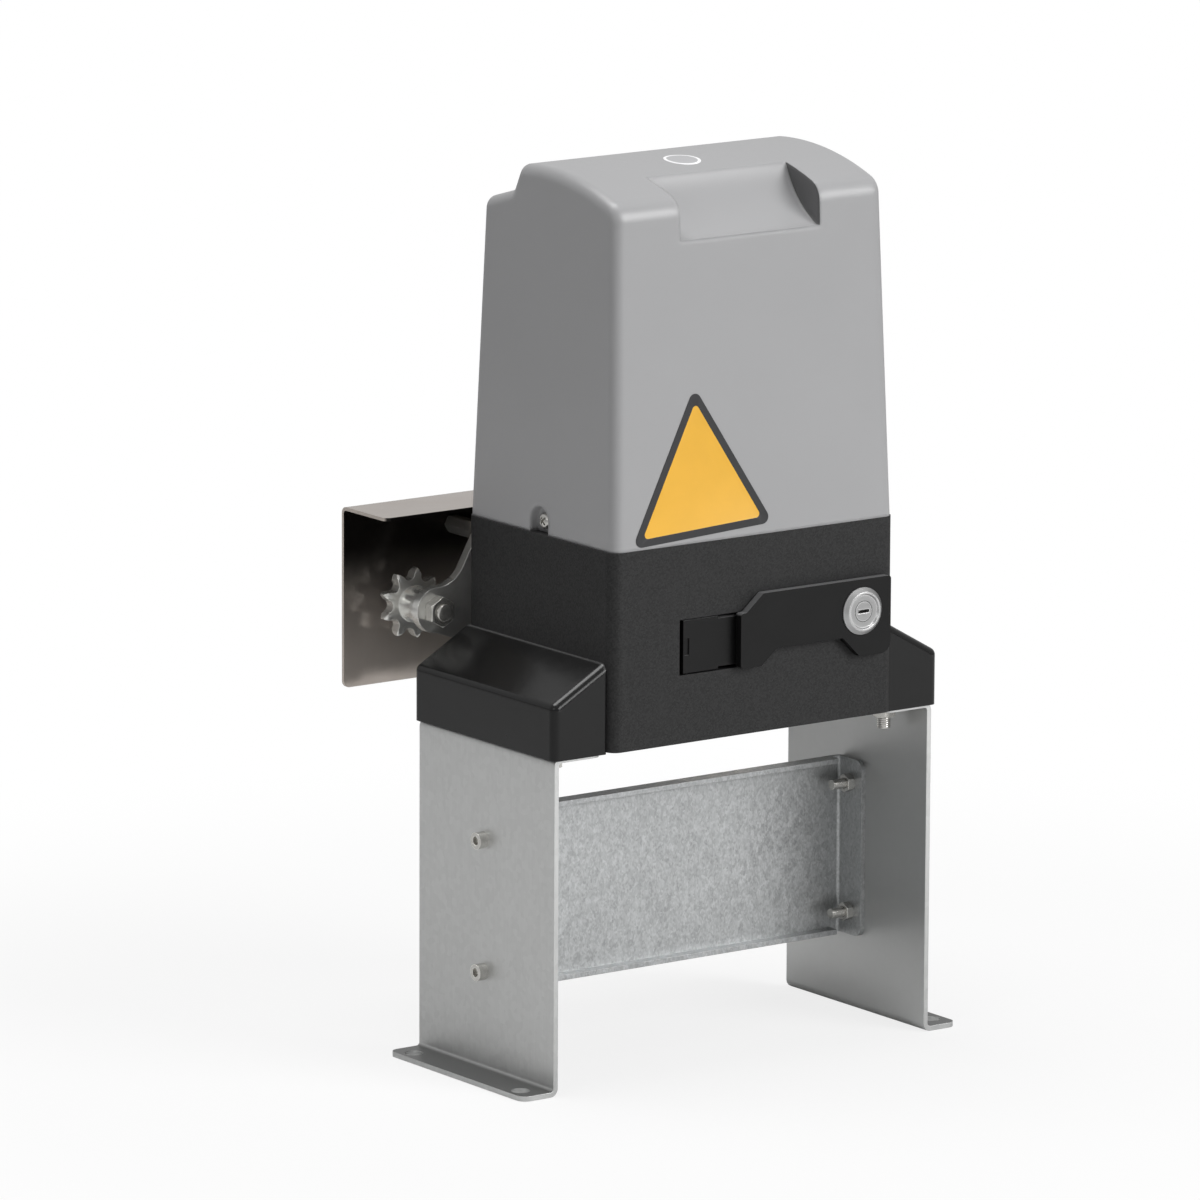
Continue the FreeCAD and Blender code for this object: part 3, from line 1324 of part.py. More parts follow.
def board_parts():
    """Relays and the fuse holder, in one group, and the plug-in terminals."""
    front = "-(housing_front - board_setback)"
    relays = []
    for step in range(3):
        relay = block(f"relay_{step}", "relay_width", "relay_depth", "relay_height")
        relays.append(placed(relay, f"{BOARD_X} - board_length / 2 + ({step} + 0.5) * relay_pitch",
                             f"{front} - relay_depth", f"{LID_TOP} + board_lift + board_height - relay_drop"))
    terminal = block("terminal_blocks", "terminal_length", "terminal_depth", "terminal_height")
    placed(terminal, f"{BOARD_X} - terminal_length / 2", f"{front} - terminal_depth",
           f"{LID_TOP} + board_lift + terminal_lift")
    return [group("relays", relays), terminal]


def capacitor():
    can = cylinder("capacitor", "capacitor_radius", "capacitor_height")
    return placed(can, f"{HALF_HOUSING} - capacitor_end_gap", "-capacitor_setback", f"{LID_TOP} + clip_wall")


def capacitor_clip():
    """A cup that holds the capacitor's foot on the lid."""
    outside = cylinder("clip_outside", "capacitor_radius + clip_wall", "clip_height")
    inside = cylinder("clip_inside", "capacitor_radius + running_clearance", "clip_height", "clip_wall")
    clip = cut("capacitor_clip", outside, inside)
    return placed(clip, f"{HALF_HOUSING} - capacitor_end_gap", "-capacitor_setback", LID_TOP)


def transformer():
    """Laminated core with its coil, on the lid behind the capacitor."""
    core = block("transformer_stack", "transformer_length", "transformer_depth / 2", "transformer_height")
    placed(core, "0", "transformer_depth / 4", "0")
    coil = block("transformer_coil", "transformer_length * 0.64", "transformer_depth", "transformer_height * 0.68")
    placed(coil, "transformer_length * 0.18", "0", "transformer_height * 0.16")
    return placed(fuse("transformer", [core, coil]), f"{HALF_HOUSING} - transformer_end_gap", "transformer_setback", LID_TOP)


# ---------------------------------------------------------------- chain side

def idler_arm():
    """The plate on the back of the housing that carries an idler at each end."""
    arm = body("idler_arm")
    face = sketch(arm, "XZ", f"-{ARM_BACK}")
    end = "idler_spacing / 2"
    outline(face, [
        (f"-{end}", f"{IDLER_Z} + arm_end_radius"),
        (f"-{end}", f"{IDLER_Z} - arm_end_radius"),
        ("-arm_bottom_half", "bracket_height + arm_bottom"),
        ("arm_bottom_half", "bracket_height + arm_bottom"),
        (end, f"{IDLER_Z} - arm_end_radius"),
        (end, f"{IDLER_Z} + arm_end_radius"),
        ("arm_waist_half", f"{IDLER_Z} + arm_end_radius"),
        ("arm_top_half", "bracket_height + arm_top"),
        ("-arm_top_half", "bracket_height + arm_top"),
        ("-arm_waist_half", f"{IDLER_Z} + arm_end_radius"),
    ], arcs={0: (None, 1), 4: (None, 1)})
    plate = pad(face, "arm_thickness")

    def bends(*names):
        places = [size(name) for name in names]
        return lambda edge: runs_along(edge, "y") and any(near(abs(edge.CenterOfMass.x), x) for x in places)

    plate = fillet(plate, bends("arm_waist_half"), "arm_waist_rounding")
    fillet(plate, bends("arm_bottom_half", "arm_top_half"), "arm_rounding")
    bore(arm, "XZ", f"-{ARM_FRONT}", "0", SHAFT_Z, "arm_bore_radius", "arm_thickness")
    for side in (-1, 1):
        bore(arm, "XZ", f"-{ARM_FRONT}", f"{side} * idler_spacing / 2", IDLER_Z,
             "idler_bolt_radius + running_clearance", "arm_thickness")
        for height in ("arm_screw_top", "arm_screw_bottom"):
            bore(arm, "XZ", f"-{ARM_FRONT}", f"{side} * arm_screw_spacing_x / 2",
                 f"bracket_height + {height}", "arm_screw_radius + running_clearance", "arm_thickness")
    return arm


def arm_screws():
    screws = []
    for side in (-1, 1):
        for height in ("arm_screw_top", "arm_screw_bottom"):
            screw = socket_screw(f"arm_screw_{len(screws)}", "arm_head_radius", "arm_head_height",
                                 "arm_screw_radius", "arm_screw_length")
            screws.append(placed(screw, f"{side} * arm_screw_spacing_x / 2", ARM_BACK,
                                 f"bracket_height + {height}", TURN["+y"]))
    return group("arm_screws", screws)


HUB_START = f"({ARM_BACK} + idler_washer_thickness + idler_end_play)"
HUB_END = "(chain_plane + tooth_width / 2)"


def idler_bolts():
    bolts = []
    washers = []
    nuts = []
    for side in (-1, 1):
        name = f"idler_{len(bolts)}"
        across = f"{side} * idler_spacing / 2"
        length = f"{HUB_END} + idler_end_play - {ARM_FRONT} + idler_nut_height + idler_bolt_end"
        head = hexagon(f"{name}_head", "idler_nut_flats", "idler_head_height")
        shank = cylinder(f"{name}_shank", "idler_bolt_radius", length, f"-({length})")
        bolts.append(placed(fuse(f"{name}_bolt", [head, shank]), across, f"{HUB_END} + idler_end_play", IDLER_Z,
                            TURN["+y"]))
        washers.append(ring(f"{name}_washer", "idler_washer_radius", "idler_bolt_radius + running_clearance",
                            "idler_washer_thickness", across, ARM_BACK, IDLER_Z, "+y"))
        nuts.append(placed(nut(f"{name}_nut", "idler_nut_flats", "idler_nut_height",
                               "idler_bolt_radius + running_clearance"),
                           across, ARM_FRONT, IDLER_Z, TURN["-y"]))
    return [group("idler_bolts", bolts), group("idler_washers", washers), group("idler_nuts", nuts)]


def toothed_disc(teeth, thickness):
    """A roller chain sprocket's disc: roller seats on the pitch circle, with flanks that open outwards."""
    pitch_radius = size("chain_pitch") / 2 / math.sin(math.pi / teeth)
    outer_radius = size("chain_pitch") / 2 * (0.6 + 1 / math.tan(math.pi / teeth))
    over = size("tool_overrun")
    seat = size("chain_roller_radius") * 1.03
    disc = Part.makeCylinder(outer_radius, thickness)
    mouth = outer_radius + 2 * over - pitch_radius
    spread = seat + mouth * math.tan(math.radians(17 + 40 / teeth))
    corners = [Vector(pitch_radius, -seat, -over), Vector(pitch_radius + mouth, -spread, -over),
               Vector(pitch_radius + mouth, spread, -over), Vector(pitch_radius, seat, -over)]
    flare = Part.Face(Part.makePolygon(corners + corners[:1])).extrude(Vector(0, 0, thickness + 2 * over))
    roller = Part.makeCylinder(seat, thickness + 2 * over, Vector(pitch_radius, 0, -over))
    gap = flare.fuse(roller)
    gaps = []
    for step in range(teeth):
        one = gap.copy()
        one.rotate(Vector(0, 0, 0), Vector(0, 0, 1), (step + 0.5) * 360 / teeth)
        gaps.append(one)
    return disc.cut(gaps).removeSplitter()


def solid_piece(label, shape, across, along, up, turn):
    """A piece shaped by Part's own functions, standing in the document like the others."""
    item = doc.addObject("Part::Feature", label)
    item.Label = label
    item.Shape = shape
    return placed(item, across, along, up, TURN[turn])


def idler_sprocket(label, side):
    """A toothed idler with a long hub towards the arm, bored for its bush."""
    bush = size("idler_bolt_radius") + size("idler_bush_wall") + size("running_clearance")
    over = size("tool_overrun")
    before_hub = ("housing_back", "arm_setback", "arm_thickness", "idler_washer_thickness", "idler_end_play")
    hub_length = size("chain_plane") - size("tooth_width") / 2 - sum(size(name) for name in before_hub)
    teeth = toothed_disc(int(size("idler_teeth")), size("tooth_width"))
    teeth.translate(Vector(0, 0, hub_length))
    hub = Part.makeCylinder(size("idler_hub_radius"), hub_length)
    way = Part.makeCylinder(bush, hub_length + size("tooth_width") + 2 * over, Vector(0, 0, -over))
    return solid_piece(label, teeth.fuse(hub).cut(way).removeSplitter(), f"{side} * idler_spacing / 2",
                       HUB_START, IDLER_Z, "+y")


def idler_bush(label, side):
    return ring(label, "idler_bolt_radius + idler_bush_wall", "idler_bolt_radius + running_clearance",
                f"{HUB_END} - {HUB_START}", f"{side} * idler_spacing / 2", HUB_START, IDLER_Z, "+y")


def drive_sprocket():
    """The driven sprocket, keyed to the output shaft, with its hub towards the housing."""
    hub_length = 2 * size("tooth_width")
    teeth = toothed_disc(int(size("drive_teeth")), size("tooth_width"))
    teeth.translate(Vector(0, 0, hub_length))
    hub = Part.makeCylinder(size("drive_hub_radius"), hub_length)
    way = Part.makeCylinder(size("shaft_radius") + size("running_clearance"), 4 * size("tooth_width"),
                            Vector(0, 0, -size("tool_overrun")))
    key = size("key_width") / 2 + size("running_clearance")
    keyway = Part.makeBox(2 * key, size("shaft_radius") + size("key_height"), 4 * size("tooth_width"),
                          Vector(-key, 0, -size("tool_overrun")))
    keyway.rotate(Vector(0, 0, 0), Vector(0, 0, 1), 180)
    return solid_piece("drive_sprocket", teeth.fuse(hub).cut([way, keyway]).removeSplitter(), "0",
                       "chain_plane - 2.5 * tooth_width", SHAFT_Z, "+y")


def chain_guard():
    """A bent sheet over the sprockets: a tall back plate and a top flange."""
    guard = body("chain_guard")
    section = sketch(guard, "YZ")
    bottom = "bracket_height + guard_bottom"
    top = "bracket_height + guard_top"
    outline(section, [
        ("guard_back", bottom),
        ("guard_back", top),
        ("guard_flange_front", top),
        ("guard_flange_front", f"{top} - guard_thickness"),
        ("guard_back - guard_thickness", f"{top} - guard_thickness"),
        ("guard_back - guard_thickness", bottom),
    ])
    sheet_part = pad(section, "guard_length", symmetric=True)
    top_z = size("bracket_height") + size("guard_top")

    def outer_bend(edge):
        return runs_along(edge, "x") and near(edge.CenterOfMass.y, size("guard_back")) and near(
            edge.CenterOfMass.z, top_z)

    def inner_bend(edge):
        at = edge.CenterOfMass
        return runs_along(edge, "x") and near(at.y, size("guard_back") - size("guard_thickness")) and near(
            at.z, top_z - size("guard_thickness"))

    bent = fillet(sheet_part, outer_bend, "guard_bend")
    bent = fillet(bent, inner_bend, "guard_bend - guard_thickness")
    fillet(bent, lambda edge: near(edge.Length, size("guard_thickness")), "guard_corner")
    for side in (-1, 1):
        bore(guard, "XZ", "-(guard_back - guard_thickness)", f"{side} * pillar_offset",
             "bracket_height + pillar_height", "guard_screw_radius + bolt_clearance", "2 * guard_thickness")
    return guard


def guard_pillars():
    pillars = []
    length = f"guard_back - guard_thickness - {ARM_BACK}"
    for side in (-1, 1):
        name = f"guard_pillar_{len(pillars)}"
        rod = hexagon(f"{name}_rod", "2 * pillar_radius", length)
        hole = cylinder(f"{name}_hole", "guard_screw_radius + running_clearance", "guard_screw_length",
                        f"{length} - guard_screw_length")
        pillars.append(placed(cut(name, rod, hole), f"{side} * pillar_offset", ARM_BACK,
                              "bracket_height + pillar_height", TURN["+y"]))
    return group("guard_pillars", pillars)


def guard_screws():
    screws = []
    for side in (-1, 1):
        screw = socket_screw(f"guard_screw_{len(screws)}", "guard_head_radius", "guard_head_height",
                             "guard_screw_radius", "guard_screw_length", "guard_socket_radius")
        screws.append(placed(screw, f"{side} * pillar_offset", "guard_back", "bracket_height + pillar_height",
                             TURN["+y"]))
    return group("guard_screws", screws)


# ---------------------------------------------------------------- the whole motor

def build():
    keep(bracket("bracket_left", -1))
    keep(bracket("bracket_right", 1))
    keep(cross_brace())
    for item in brace_fasteners():
        keep(item)
    keep(base_housing())
    for item in mounting_fasteners():
        keep(item)
    keep(end_cap("end_cap_left", -1))
    keep(end_cap("end_cap_right", 1))
    keep(top_cover())
    for item in cover_screws():
        keep(item)
    keep(release_lever())
    keep(hinge_pin())
    keep(lock_body())
    keep(lock_plug())
    keep(lock_cam())
    keep(output_shaft())
    keep(sprocket_key())
    keep(shaft_nut())
    keep(shaft_bearings())
    keep(oil_seal())
    keep(worm_wheel())
    keep(rotor_shaft())
    keep(rotor_core())
    keep(rotor_bearings())
    keep(gearbox_lid())
    keep(lid_screws())
    keep(motor_bell("motor_bell_lower", False))
    keep(motor_bell("motor_bell_upper", True))
    keep(motor_stator())
    keep(control_board())
    keep(board_frame())
    for item in board_parts():
        keep(item)
    keep(capacitor())
    keep(capacitor_clip())
    keep(transformer())
    keep(idler_arm())
    keep(arm_screws())
    for item in idler_bolts():
        keep(item)
    for label, side in (("left", -1), ("right", 1)):
        keep(idler_sprocket(f"idler_sprocket_{label}", side))
        keep(idler_bush(f"idler_bush_{label}", side))
    keep(drive_sprocket())
    keep(chain_guard())
    keep(guard_pillars())
    keep(guard_screws())


def check_and_write():
    doc.recompute()
    broken = [item.Label for item in doc.Objects if {"Invalid", "Error"} & set(item.State)]
    if broken:
        raise RuntimeError(f"objects that failed: {broken}")
    for item in KEPT:
        if item.Shape.isNull() or not item.Shape.isValid() or not item.Shape.Solids:
            raise RuntimeError(f"{item.Label} has no valid solid")
    for item in KEPT:
        item.Shape.exportStep(f"parts/{item.Label}.step")


build()
check_and_write()
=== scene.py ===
"""Looks for the sliding gate motor: finishes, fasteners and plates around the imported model."""

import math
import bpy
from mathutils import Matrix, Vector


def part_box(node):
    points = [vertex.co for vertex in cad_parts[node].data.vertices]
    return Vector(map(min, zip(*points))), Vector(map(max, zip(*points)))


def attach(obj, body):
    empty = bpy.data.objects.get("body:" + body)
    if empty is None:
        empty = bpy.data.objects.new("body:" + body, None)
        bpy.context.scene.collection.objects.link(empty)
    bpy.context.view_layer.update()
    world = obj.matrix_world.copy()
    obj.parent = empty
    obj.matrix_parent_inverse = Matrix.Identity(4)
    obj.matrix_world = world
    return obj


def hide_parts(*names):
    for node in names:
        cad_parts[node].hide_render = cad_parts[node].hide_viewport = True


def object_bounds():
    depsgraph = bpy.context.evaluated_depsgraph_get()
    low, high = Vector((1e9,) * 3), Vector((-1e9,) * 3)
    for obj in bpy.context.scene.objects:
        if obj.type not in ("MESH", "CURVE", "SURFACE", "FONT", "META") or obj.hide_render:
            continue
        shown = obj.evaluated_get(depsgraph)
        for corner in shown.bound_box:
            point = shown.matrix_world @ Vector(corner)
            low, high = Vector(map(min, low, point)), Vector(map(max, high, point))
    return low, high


bl_info = {
    "name": "Sliding gate motor",
    "version": (1, 0, 0),
    "blender": (4, 5, 0),
    "location": "3D View > Sidebar > Gate motor",
    "description": "Dresses the packed gate motor with finishes, fasteners, plates and a studio",
    "category": "Object",
}

import bmesh
import bpy
from bpy.props import FloatProperty, FloatVectorProperty, PointerProperty
from mathutils import Matrix, Vector
from mathutils.bvhtree import BVHTree

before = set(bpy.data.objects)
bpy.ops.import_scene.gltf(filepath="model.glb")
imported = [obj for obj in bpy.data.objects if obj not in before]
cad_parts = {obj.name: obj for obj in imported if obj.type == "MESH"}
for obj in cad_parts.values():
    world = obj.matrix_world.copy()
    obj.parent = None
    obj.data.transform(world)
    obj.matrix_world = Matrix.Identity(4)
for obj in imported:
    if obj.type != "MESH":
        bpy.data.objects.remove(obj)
cad_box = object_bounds()
MM = 0.001
X_AXIS = Vector((1.0, 0.0, 0.0))
Y_AXIS = Vector((0.0, 1.0, 0.0))
Z_AXIS = Vector((0.0, 0.0, 1.0))
AXES = (X_AXIS, Y_AXIS, Z_AXIS)
WHITE = (1.0, 1.0, 1.0, 1.0)
# Radii of the bolts' shanks, which are the bores of their nuts.
BRACE_BOLT = 3.0 * MM
MOUNTING_BOLT = 4.0 * MM


# ---------------------------- shader building

class Value:
    """One output of a material's nodes. Python's operators on it add Math nodes."""

    def __init__(self, finish, socket):
        self.finish = finish
        self.socket = socket

    def math(self, operation, *others):
        inputs = dict(enumerate((self,) + others))
        return self.finish.node("ShaderNodeMath", {"operation": operation}, inputs)

    def __add__(self, other):
        return self.math("ADD", other)

    __radd__ = __add__

    def __mul__(self, other):
        return self.math("MULTIPLY", other)

    __rmul__ = __mul__

    def __sub__(self, other):
        return self.math("SUBTRACT", other)

    def __rsub__(self, other):
        return self * -1.0 + other

    def larger(self, other):
        return self.math("MAXIMUM", other)

    def stepped(self, low, high):
        """0 below low, 1 above high and smooth between them."""
        settings = {"interpolation_type": "SMOOTHSTEP"}
        return self.finish.node("ShaderNodeMapRange", settings, {0: self, 1: low, 2: high})


class Graph:
    """A node tree under construction."""

    def __init__(self, tree):
        self.tree = tree

    def node(self, kind, settings, inputs, output=0):
        """Add a node: its settings, then the values or links of its live sockets, by name or order."""
        made = self.tree.nodes.new(kind)
        for key, value in settings.items():
            setattr(made, key, value)
        live = [socket for socket in made.inputs if socket.enabled]
        by_name = {socket.name: socket for socket in reversed(live)}
        for key, value in inputs.items():
            self.feed(by_name[key] if isinstance(key, str) else live[key], value)
        outputs = [socket for socket in made.outputs if socket.enabled]
        names = [socket.name for socket in outputs]
        return Value(self, outputs[names.index(output) if isinstance(output, str) else output])

    def ray(self, kind):
        """Whether the light came this way, such as Is Camera Ray."""
        return self.node("ShaderNodeLightPath", {}, {}, kind)

    def feed(self, socket, value):
        if isinstance(value, Value):
            self.tree.links.new(value.socket, socket)
        else:
            socket.default_value = value


class Finish(Graph):
    """A material under construction around its Principled shader."""

    def __init__(self, name):
        self.material = bpy.data.materials.new(name)
        self.material.use_nodes = True
        super().__init__(self.material.node_tree)
        self.shader = self.tree.nodes["Principled BSDF"]
        self.output = self.tree.nodes["Material Output"]

    def point(self, stretch=None, about=None):
        """The place on the piece in metres, from a point if given, and scaled along each axis."""
        place = self.node("ShaderNodeTexCoord", {}, {}, "Object")
        if about is not None:
            place = self.node("ShaderNodeVectorMath", {"operation": "SUBTRACT"}, {0: place, 1: about})
        if stretch is not None:
            place = self.node("ShaderNodeVectorMath", {"operation": "MULTIPLY"}, {0: place, 1: stretch})
        return place

    def along(self, axis):
        """The place on the piece along one axis, in metres."""
        return self.node("ShaderNodeSeparateXYZ", {}, {0: self.point()}, axis)

    def facing(self, axis):
        """How far the surface faces along one axis, from -1 to 1."""
        outward = self.node("ShaderNodeNewGeometry", {}, {}, "Normal")
        return self.node("ShaderNodeSeparateXYZ", {}, {0: outward}, axis)

    def length(self, place):
        """The length of a vector."""
        return self.node("ShaderNodeVectorMath", {"operation": "LENGTH"}, {0: place}, "Value")

    def noise(self, scale, detail=3.0, stretch=None):
        """Cloudy noise from 0 to 1, with features of about 1 / scale metres."""
        inputs = {"Vector": self.point(stretch), "Scale": scale, "Detail": detail}
        return self.node("ShaderNodeTexNoise", {}, inputs, "Fac")

    def cells(self, scale, stretch=None):
        """One random number for each crystal or grain of about 1 / scale metres."""
        inputs = {"Vector": self.point(stretch), "Scale": scale}
        colour = self.node("ShaderNodeTexVoronoi", {}, inputs, "Color")
        return self.node("ShaderNodeSeparateColor", {}, {0: colour})

    def mix(self, factor, low, high):
        """A colour between two colours."""
        inputs = {"Factor": factor, "A": rgba(low), "B": rgba(high)}
        return self.node("ShaderNodeMix", {"data_type": "RGBA"}, inputs)

    def shades(self, factor, colour, low, high):
        """A colour between two shades of one colour."""
        return self.mix(factor, shade_of(colour, low), shade_of(colour, high))

    def edges(self, radius, upper=False):
        """1 on outer and inner edges, or only on those that face up, and 0 on open surface."""
        rounded = self.node("ShaderNodeBevel", {"samples": 4}, {"Radius": radius})
        plain = self.node("ShaderNodeNewGeometry", {}, {}, "Normal")
        both = {0: rounded, 1: plain}
        agreement = self.node("ShaderNodeVectorMath", {"operation": "DOT_PRODUCT"}, both, "Value")
        # This mask carries the painted edge highlights of the finishes.
        worn = (1.0 - agreement).stepped(0.02, 0.2)
        if upper:
            worn = worn * self.node("ShaderNodeSeparateXYZ", {}, {0: rounded}, "Z").stepped(0.05, 0.4)
        return worn

    def relief(self, height, distance, rounding=0.0):
        """Raise the surface by height times distance in metres, and soften its edges to a radius."""
        inputs = {"Height": height, "Distance": distance}
        if rounding:
            inputs["Normal"] = self.node("ShaderNodeBevel", {"samples": 4}, {"Radius": rounding})
        self.set(Normal=self.node("ShaderNodeBump", {}, inputs))

    def set(self, **values):
        for name, value in values.items():
            self.feed(self.shader.inputs[name.replace("_", " ")], value)


def rgba(colour):
    return colour if isinstance(colour, Value) else (*colour, 1.0)


def shade_of(colour, factor):
    return tuple(channel * factor for channel in colour)


# ---------------------------- finishes

def galvanised_leg(colours):
    """Zinc dipped sheet: faint crystals, streaks that run up the leg, painted shade on lying faces and low on
    the leg, and painted highlights on its edges.

    The right leg's inner face carries painted shade under the housing and painted light near its foot.
    """
    made = Finish("galvanised_leg")
    crystals = made.cells(260.0)
    streaks = made.noise(900.0, 2.0, (1.0, 1.0, 0.03))
    clouds = made.noise(18.0, 4.0)
    # Painted shade: the height term darkens the leg towards its foot.
    height = made.along("Z").stepped(-0.03, 0.2)
    # Painted shade on faces that lie flat, such as the feet.
    painted_top_shade = made.facing("Z").stepped(0.2, 0.95)
    tone = crystals * 0.16 + streaks * 0.24 + clouds * 0.2 + height * 0.4
    zinc = colours.galvanised
    worn = made.shades(tone, zinc, 0.76, 1.18)
    # Painted shade on the right leg's inner face under the housing, with painted light near its foot.
    inner = (made.facing("X") * -1.0).stepped(0.3, 0.8) * made.along("X").stepped(0.05, 0.1)
    painted_leg_light_and_shade = made.shades(made.along("Z").stepped(0.02, 0.08), zinc, 1.3, 0.75)
    with_painted_shade = made.mix(painted_top_shade, made.mix(inner * 0.8, worn, painted_leg_light_and_shade), shade_of(zinc, 0.34))
    # Painted highlights on the edges.
    painted_edge_highlight = made.mix(made.edges(0.0006) * 0.4, with_painted_shade, shade_of(zinc, 1.2))
    made.set(Base_Color=painted_edge_highlight, Metallic=0.88)
    made.set(Roughness=clouds * 0.14 + streaks * 0.08 + 0.32)
    made.relief(streaks * 0.6 + crystals * 0.2, 0.00004, 0.0004)
    return made.material


def galvanised_brace(colours):
    """Zinc dipped sheet of the brace: paler, with a fine even spangle."""
    made = Finish("galvanised_brace")
    crystals = made.cells(420.0, (1.0, 1.0, 0.55))
    specks = made.cells(1100.0, (1.0, 1.0, 0.6))
    clouds = made.noise(14.0, 5.0)
    tone = crystals * 0.3 + specks * 0.45 + clouds * 0.25
    zinc = colours.brace_zinc
    made.set(Base_Color=made.shades(tone, zinc, 0.68, 1.3), Metallic=0.85)
    made.set(Roughness=crystals * 0.12 + clouds * 0.12 + 0.36)
    made.relief(crystals * 0.5 + specks * 0.3, 0.00003, 0.0004)
    return made.material


def zinc_plate(colours):
    """Bright zinc of the screws, nuts and washers, a little yellow, with painted highlights on its edges."""
    made = Finish("zinc_plate")
    film = made.noise(240.0, 4.0)
    zinc = colours.zinc
    coated = made.shades(film, zinc, 0.75, 1.1)
    # Painted highlights on the edges.
    made.set(Base_Color=made.mix(made.edges(0.0009), coated, shade_of(zinc, 1.6)), Metallic=0.82)
    made.set(Roughness=film * 0.12 + 0.14)
    made.relief(film, 0.00002, 0.00025)
    return made.material


def nickel(colours):
    """Bright nickel of the sprockets and their arm, with tumbling marks and painted highlights on its edges.
    """
    made = Finish("nickel")
    film = made.noise(160.0, 5.0)
    marks = made.cells(700.0)
    metal = colours.nickel
    plated = made.shades(film, metal, 0.86, 1.1)
    # Painted highlights on the edges.
    made.set(Base_Color=made.mix(made.edges(0.001), plated, shade_of(metal, 1.28)), Metallic=0.72)
    made.set(Roughness=film * 0.1 + marks * 0.05 + 0.15)
    made.relief(film * 0.7 + marks * 0.3, 0.00003, 0.0005)
    return made.material


def machined_steel(colours):
    """Turned steel: fine rings round the shaft under a film of oil."""
    made = Finish("machined_steel")
    rings = made.noise(1600.0, 1.0, (0.05, 1.0, 0.05))
    film = made.noise(90.0, 3.0)
    metal = shade_of(colours.nickel, 0.85)
    made.set(Base_Color=made.shades(film, metal, 0.85, 1.1), Metallic=1.0)
    made.set(Roughness=rings * 0.12 + film * 0.1 + 0.2)
    made.relief(rings, 0.00002, 0.0003)
    return made.material


def polished_sheet(colours):
    """Thin stainless sheet, polished and slightly wavy, smeared, with painted shade on its upward faces and
    painted shade inside that darkens upward.
    """
    made = Finish("polished_sheet")
    waves = made.noise(22.0, 2.0)
    smears = made.noise(60.0, 5.0, (1.0, 1.0, 0.35))
    metal = colours.guard
    # Painted shade on the inner face, darkest at the top.
    inner = (made.facing("Y") * -1.0).stepped(0.3, 0.8)
    painted_guard_shade = made.along("Z").stepped(0.222, 0.295) * inner
    smeared = made.shades(smears, metal, 0.85, 1.08)
    # Painted shade on upward faces.
    painted_top_shade = made.mix(made.facing("Z").stepped(0.3, 0.9), smeared, shade_of(metal, 0.8))
    painted_dark_inside = made.mix(painted_guard_shade, painted_top_shade, shade_of(metal, 0.02))
    made.set(Base_Color=painted_dark_inside, Metallic=0.45, Specular_IOR_Level=0.12)
    made.set(Roughness=smears * 0.12 + 0.1)
    made.relief(waves, 0.0012, 0.0003)
    return made.material


def textured_paint(colours):
    """Black powder coat of the casting: a fine grain of raised specks, with painted highlights on its edges.
    """
    made = Finish("textured_paint")
    grain = made.noise(1500.0, 2.0)
    specks = made.cells(1100.0)
    dust = made.noise(25.0, 4.0)
    paint = colours.casting
    flecked = made.shades(specks * 0.6 + grain * 0.4, paint, 0.4, 2.0)
    dust_and_painted_light = made.mix(dust.stepped(0.45, 0.9) * 0.35, flecked, shade_of(paint, 2.2))
    # Painted highlights on the edges.
    painted_highlight = made.mix(made.edges(0.0008) * 0.5, dust_and_painted_light, shade_of(paint, 3.0))
    made.set(Base_Color=painted_highlight, Specular_IOR_Level=0.28)
    made.set(Roughness=grain * 0.2 + dust * 0.1 + 0.42)
    made.relief(grain * 0.6 + specks * 0.4, 0.00018, 0.0006)
    return made.material


def gloss_moulding(colours):
    """Gloss black moulding of the end caps: flow marks, scuffs, a lighter top from dust and painted light,
    and painted highlights on upper edges.
    """
    made = Finish("gloss_moulding")
    flow = made.noise(30.0, 3.0)
    scuffs = made.noise(240.0, 5.0, (1.0, 1.0, 0.4)).stepped(0.62, 0.8)
    black = colours.caps
    moulded = made.mix(scuffs * 0.4 + flow * 0.3, black, shade_of(black, 2.2))
    # Lighter upward faces: dust and painted light.
    dust_and_painted_light = made.mix(made.facing("Z").stepped(0.3, 0.9), moulded, shade_of(black, 4.5))
    # Painted highlights on the upper edges.
    pale = made.mix(made.edges(0.003, True), dust_and_painted_light, shade_of(black, 60.0))
    made.set(Base_Color=pale, Specular_IOR_Level=0.34)
    made.set(Roughness=flow * 0.06 + scuffs * 0.1 + 0.16)
    made.relief(flow, 0.00025, 0.0008)
    return made.material


def grey_cover(colours):
    """Light grey gloss moulding of the cover: nearly even, with a very fine orange peel and painted
    highlights on its edges.

    The end wall of the finger scoop is darkened with painted shade.
    """
    made = Finish("grey_cover")
    clouds = made.noise(9.0, 4.0)
    peel = made.noise(420.0, 2.0)
    grey = colours.cover
    even = made.shades(clouds, grey, 0.95, 1.04)
    # Painted highlights on the edges.
    painted_edge_highlight = made.mix(made.edges(0.005) * 0.5, even, shade_of(grey, 1.35))
    # Painted shade on the end wall of the finger scoop.
    painted_scoop_shade = (made.facing("X") * -1.0).stepped(0.3, 0.8) * made.along("X").stepped(0.0, 0.02)
    made.set(Base_Color=made.mix(painted_scoop_shade, painted_edge_highlight, shade_of(grey, 0.3)))
    made.set(Roughness=clouds * 0.08 + peel * 0.06 + 0.24)
    made.relief(peel, 0.00002, 0.004)
    return made.material


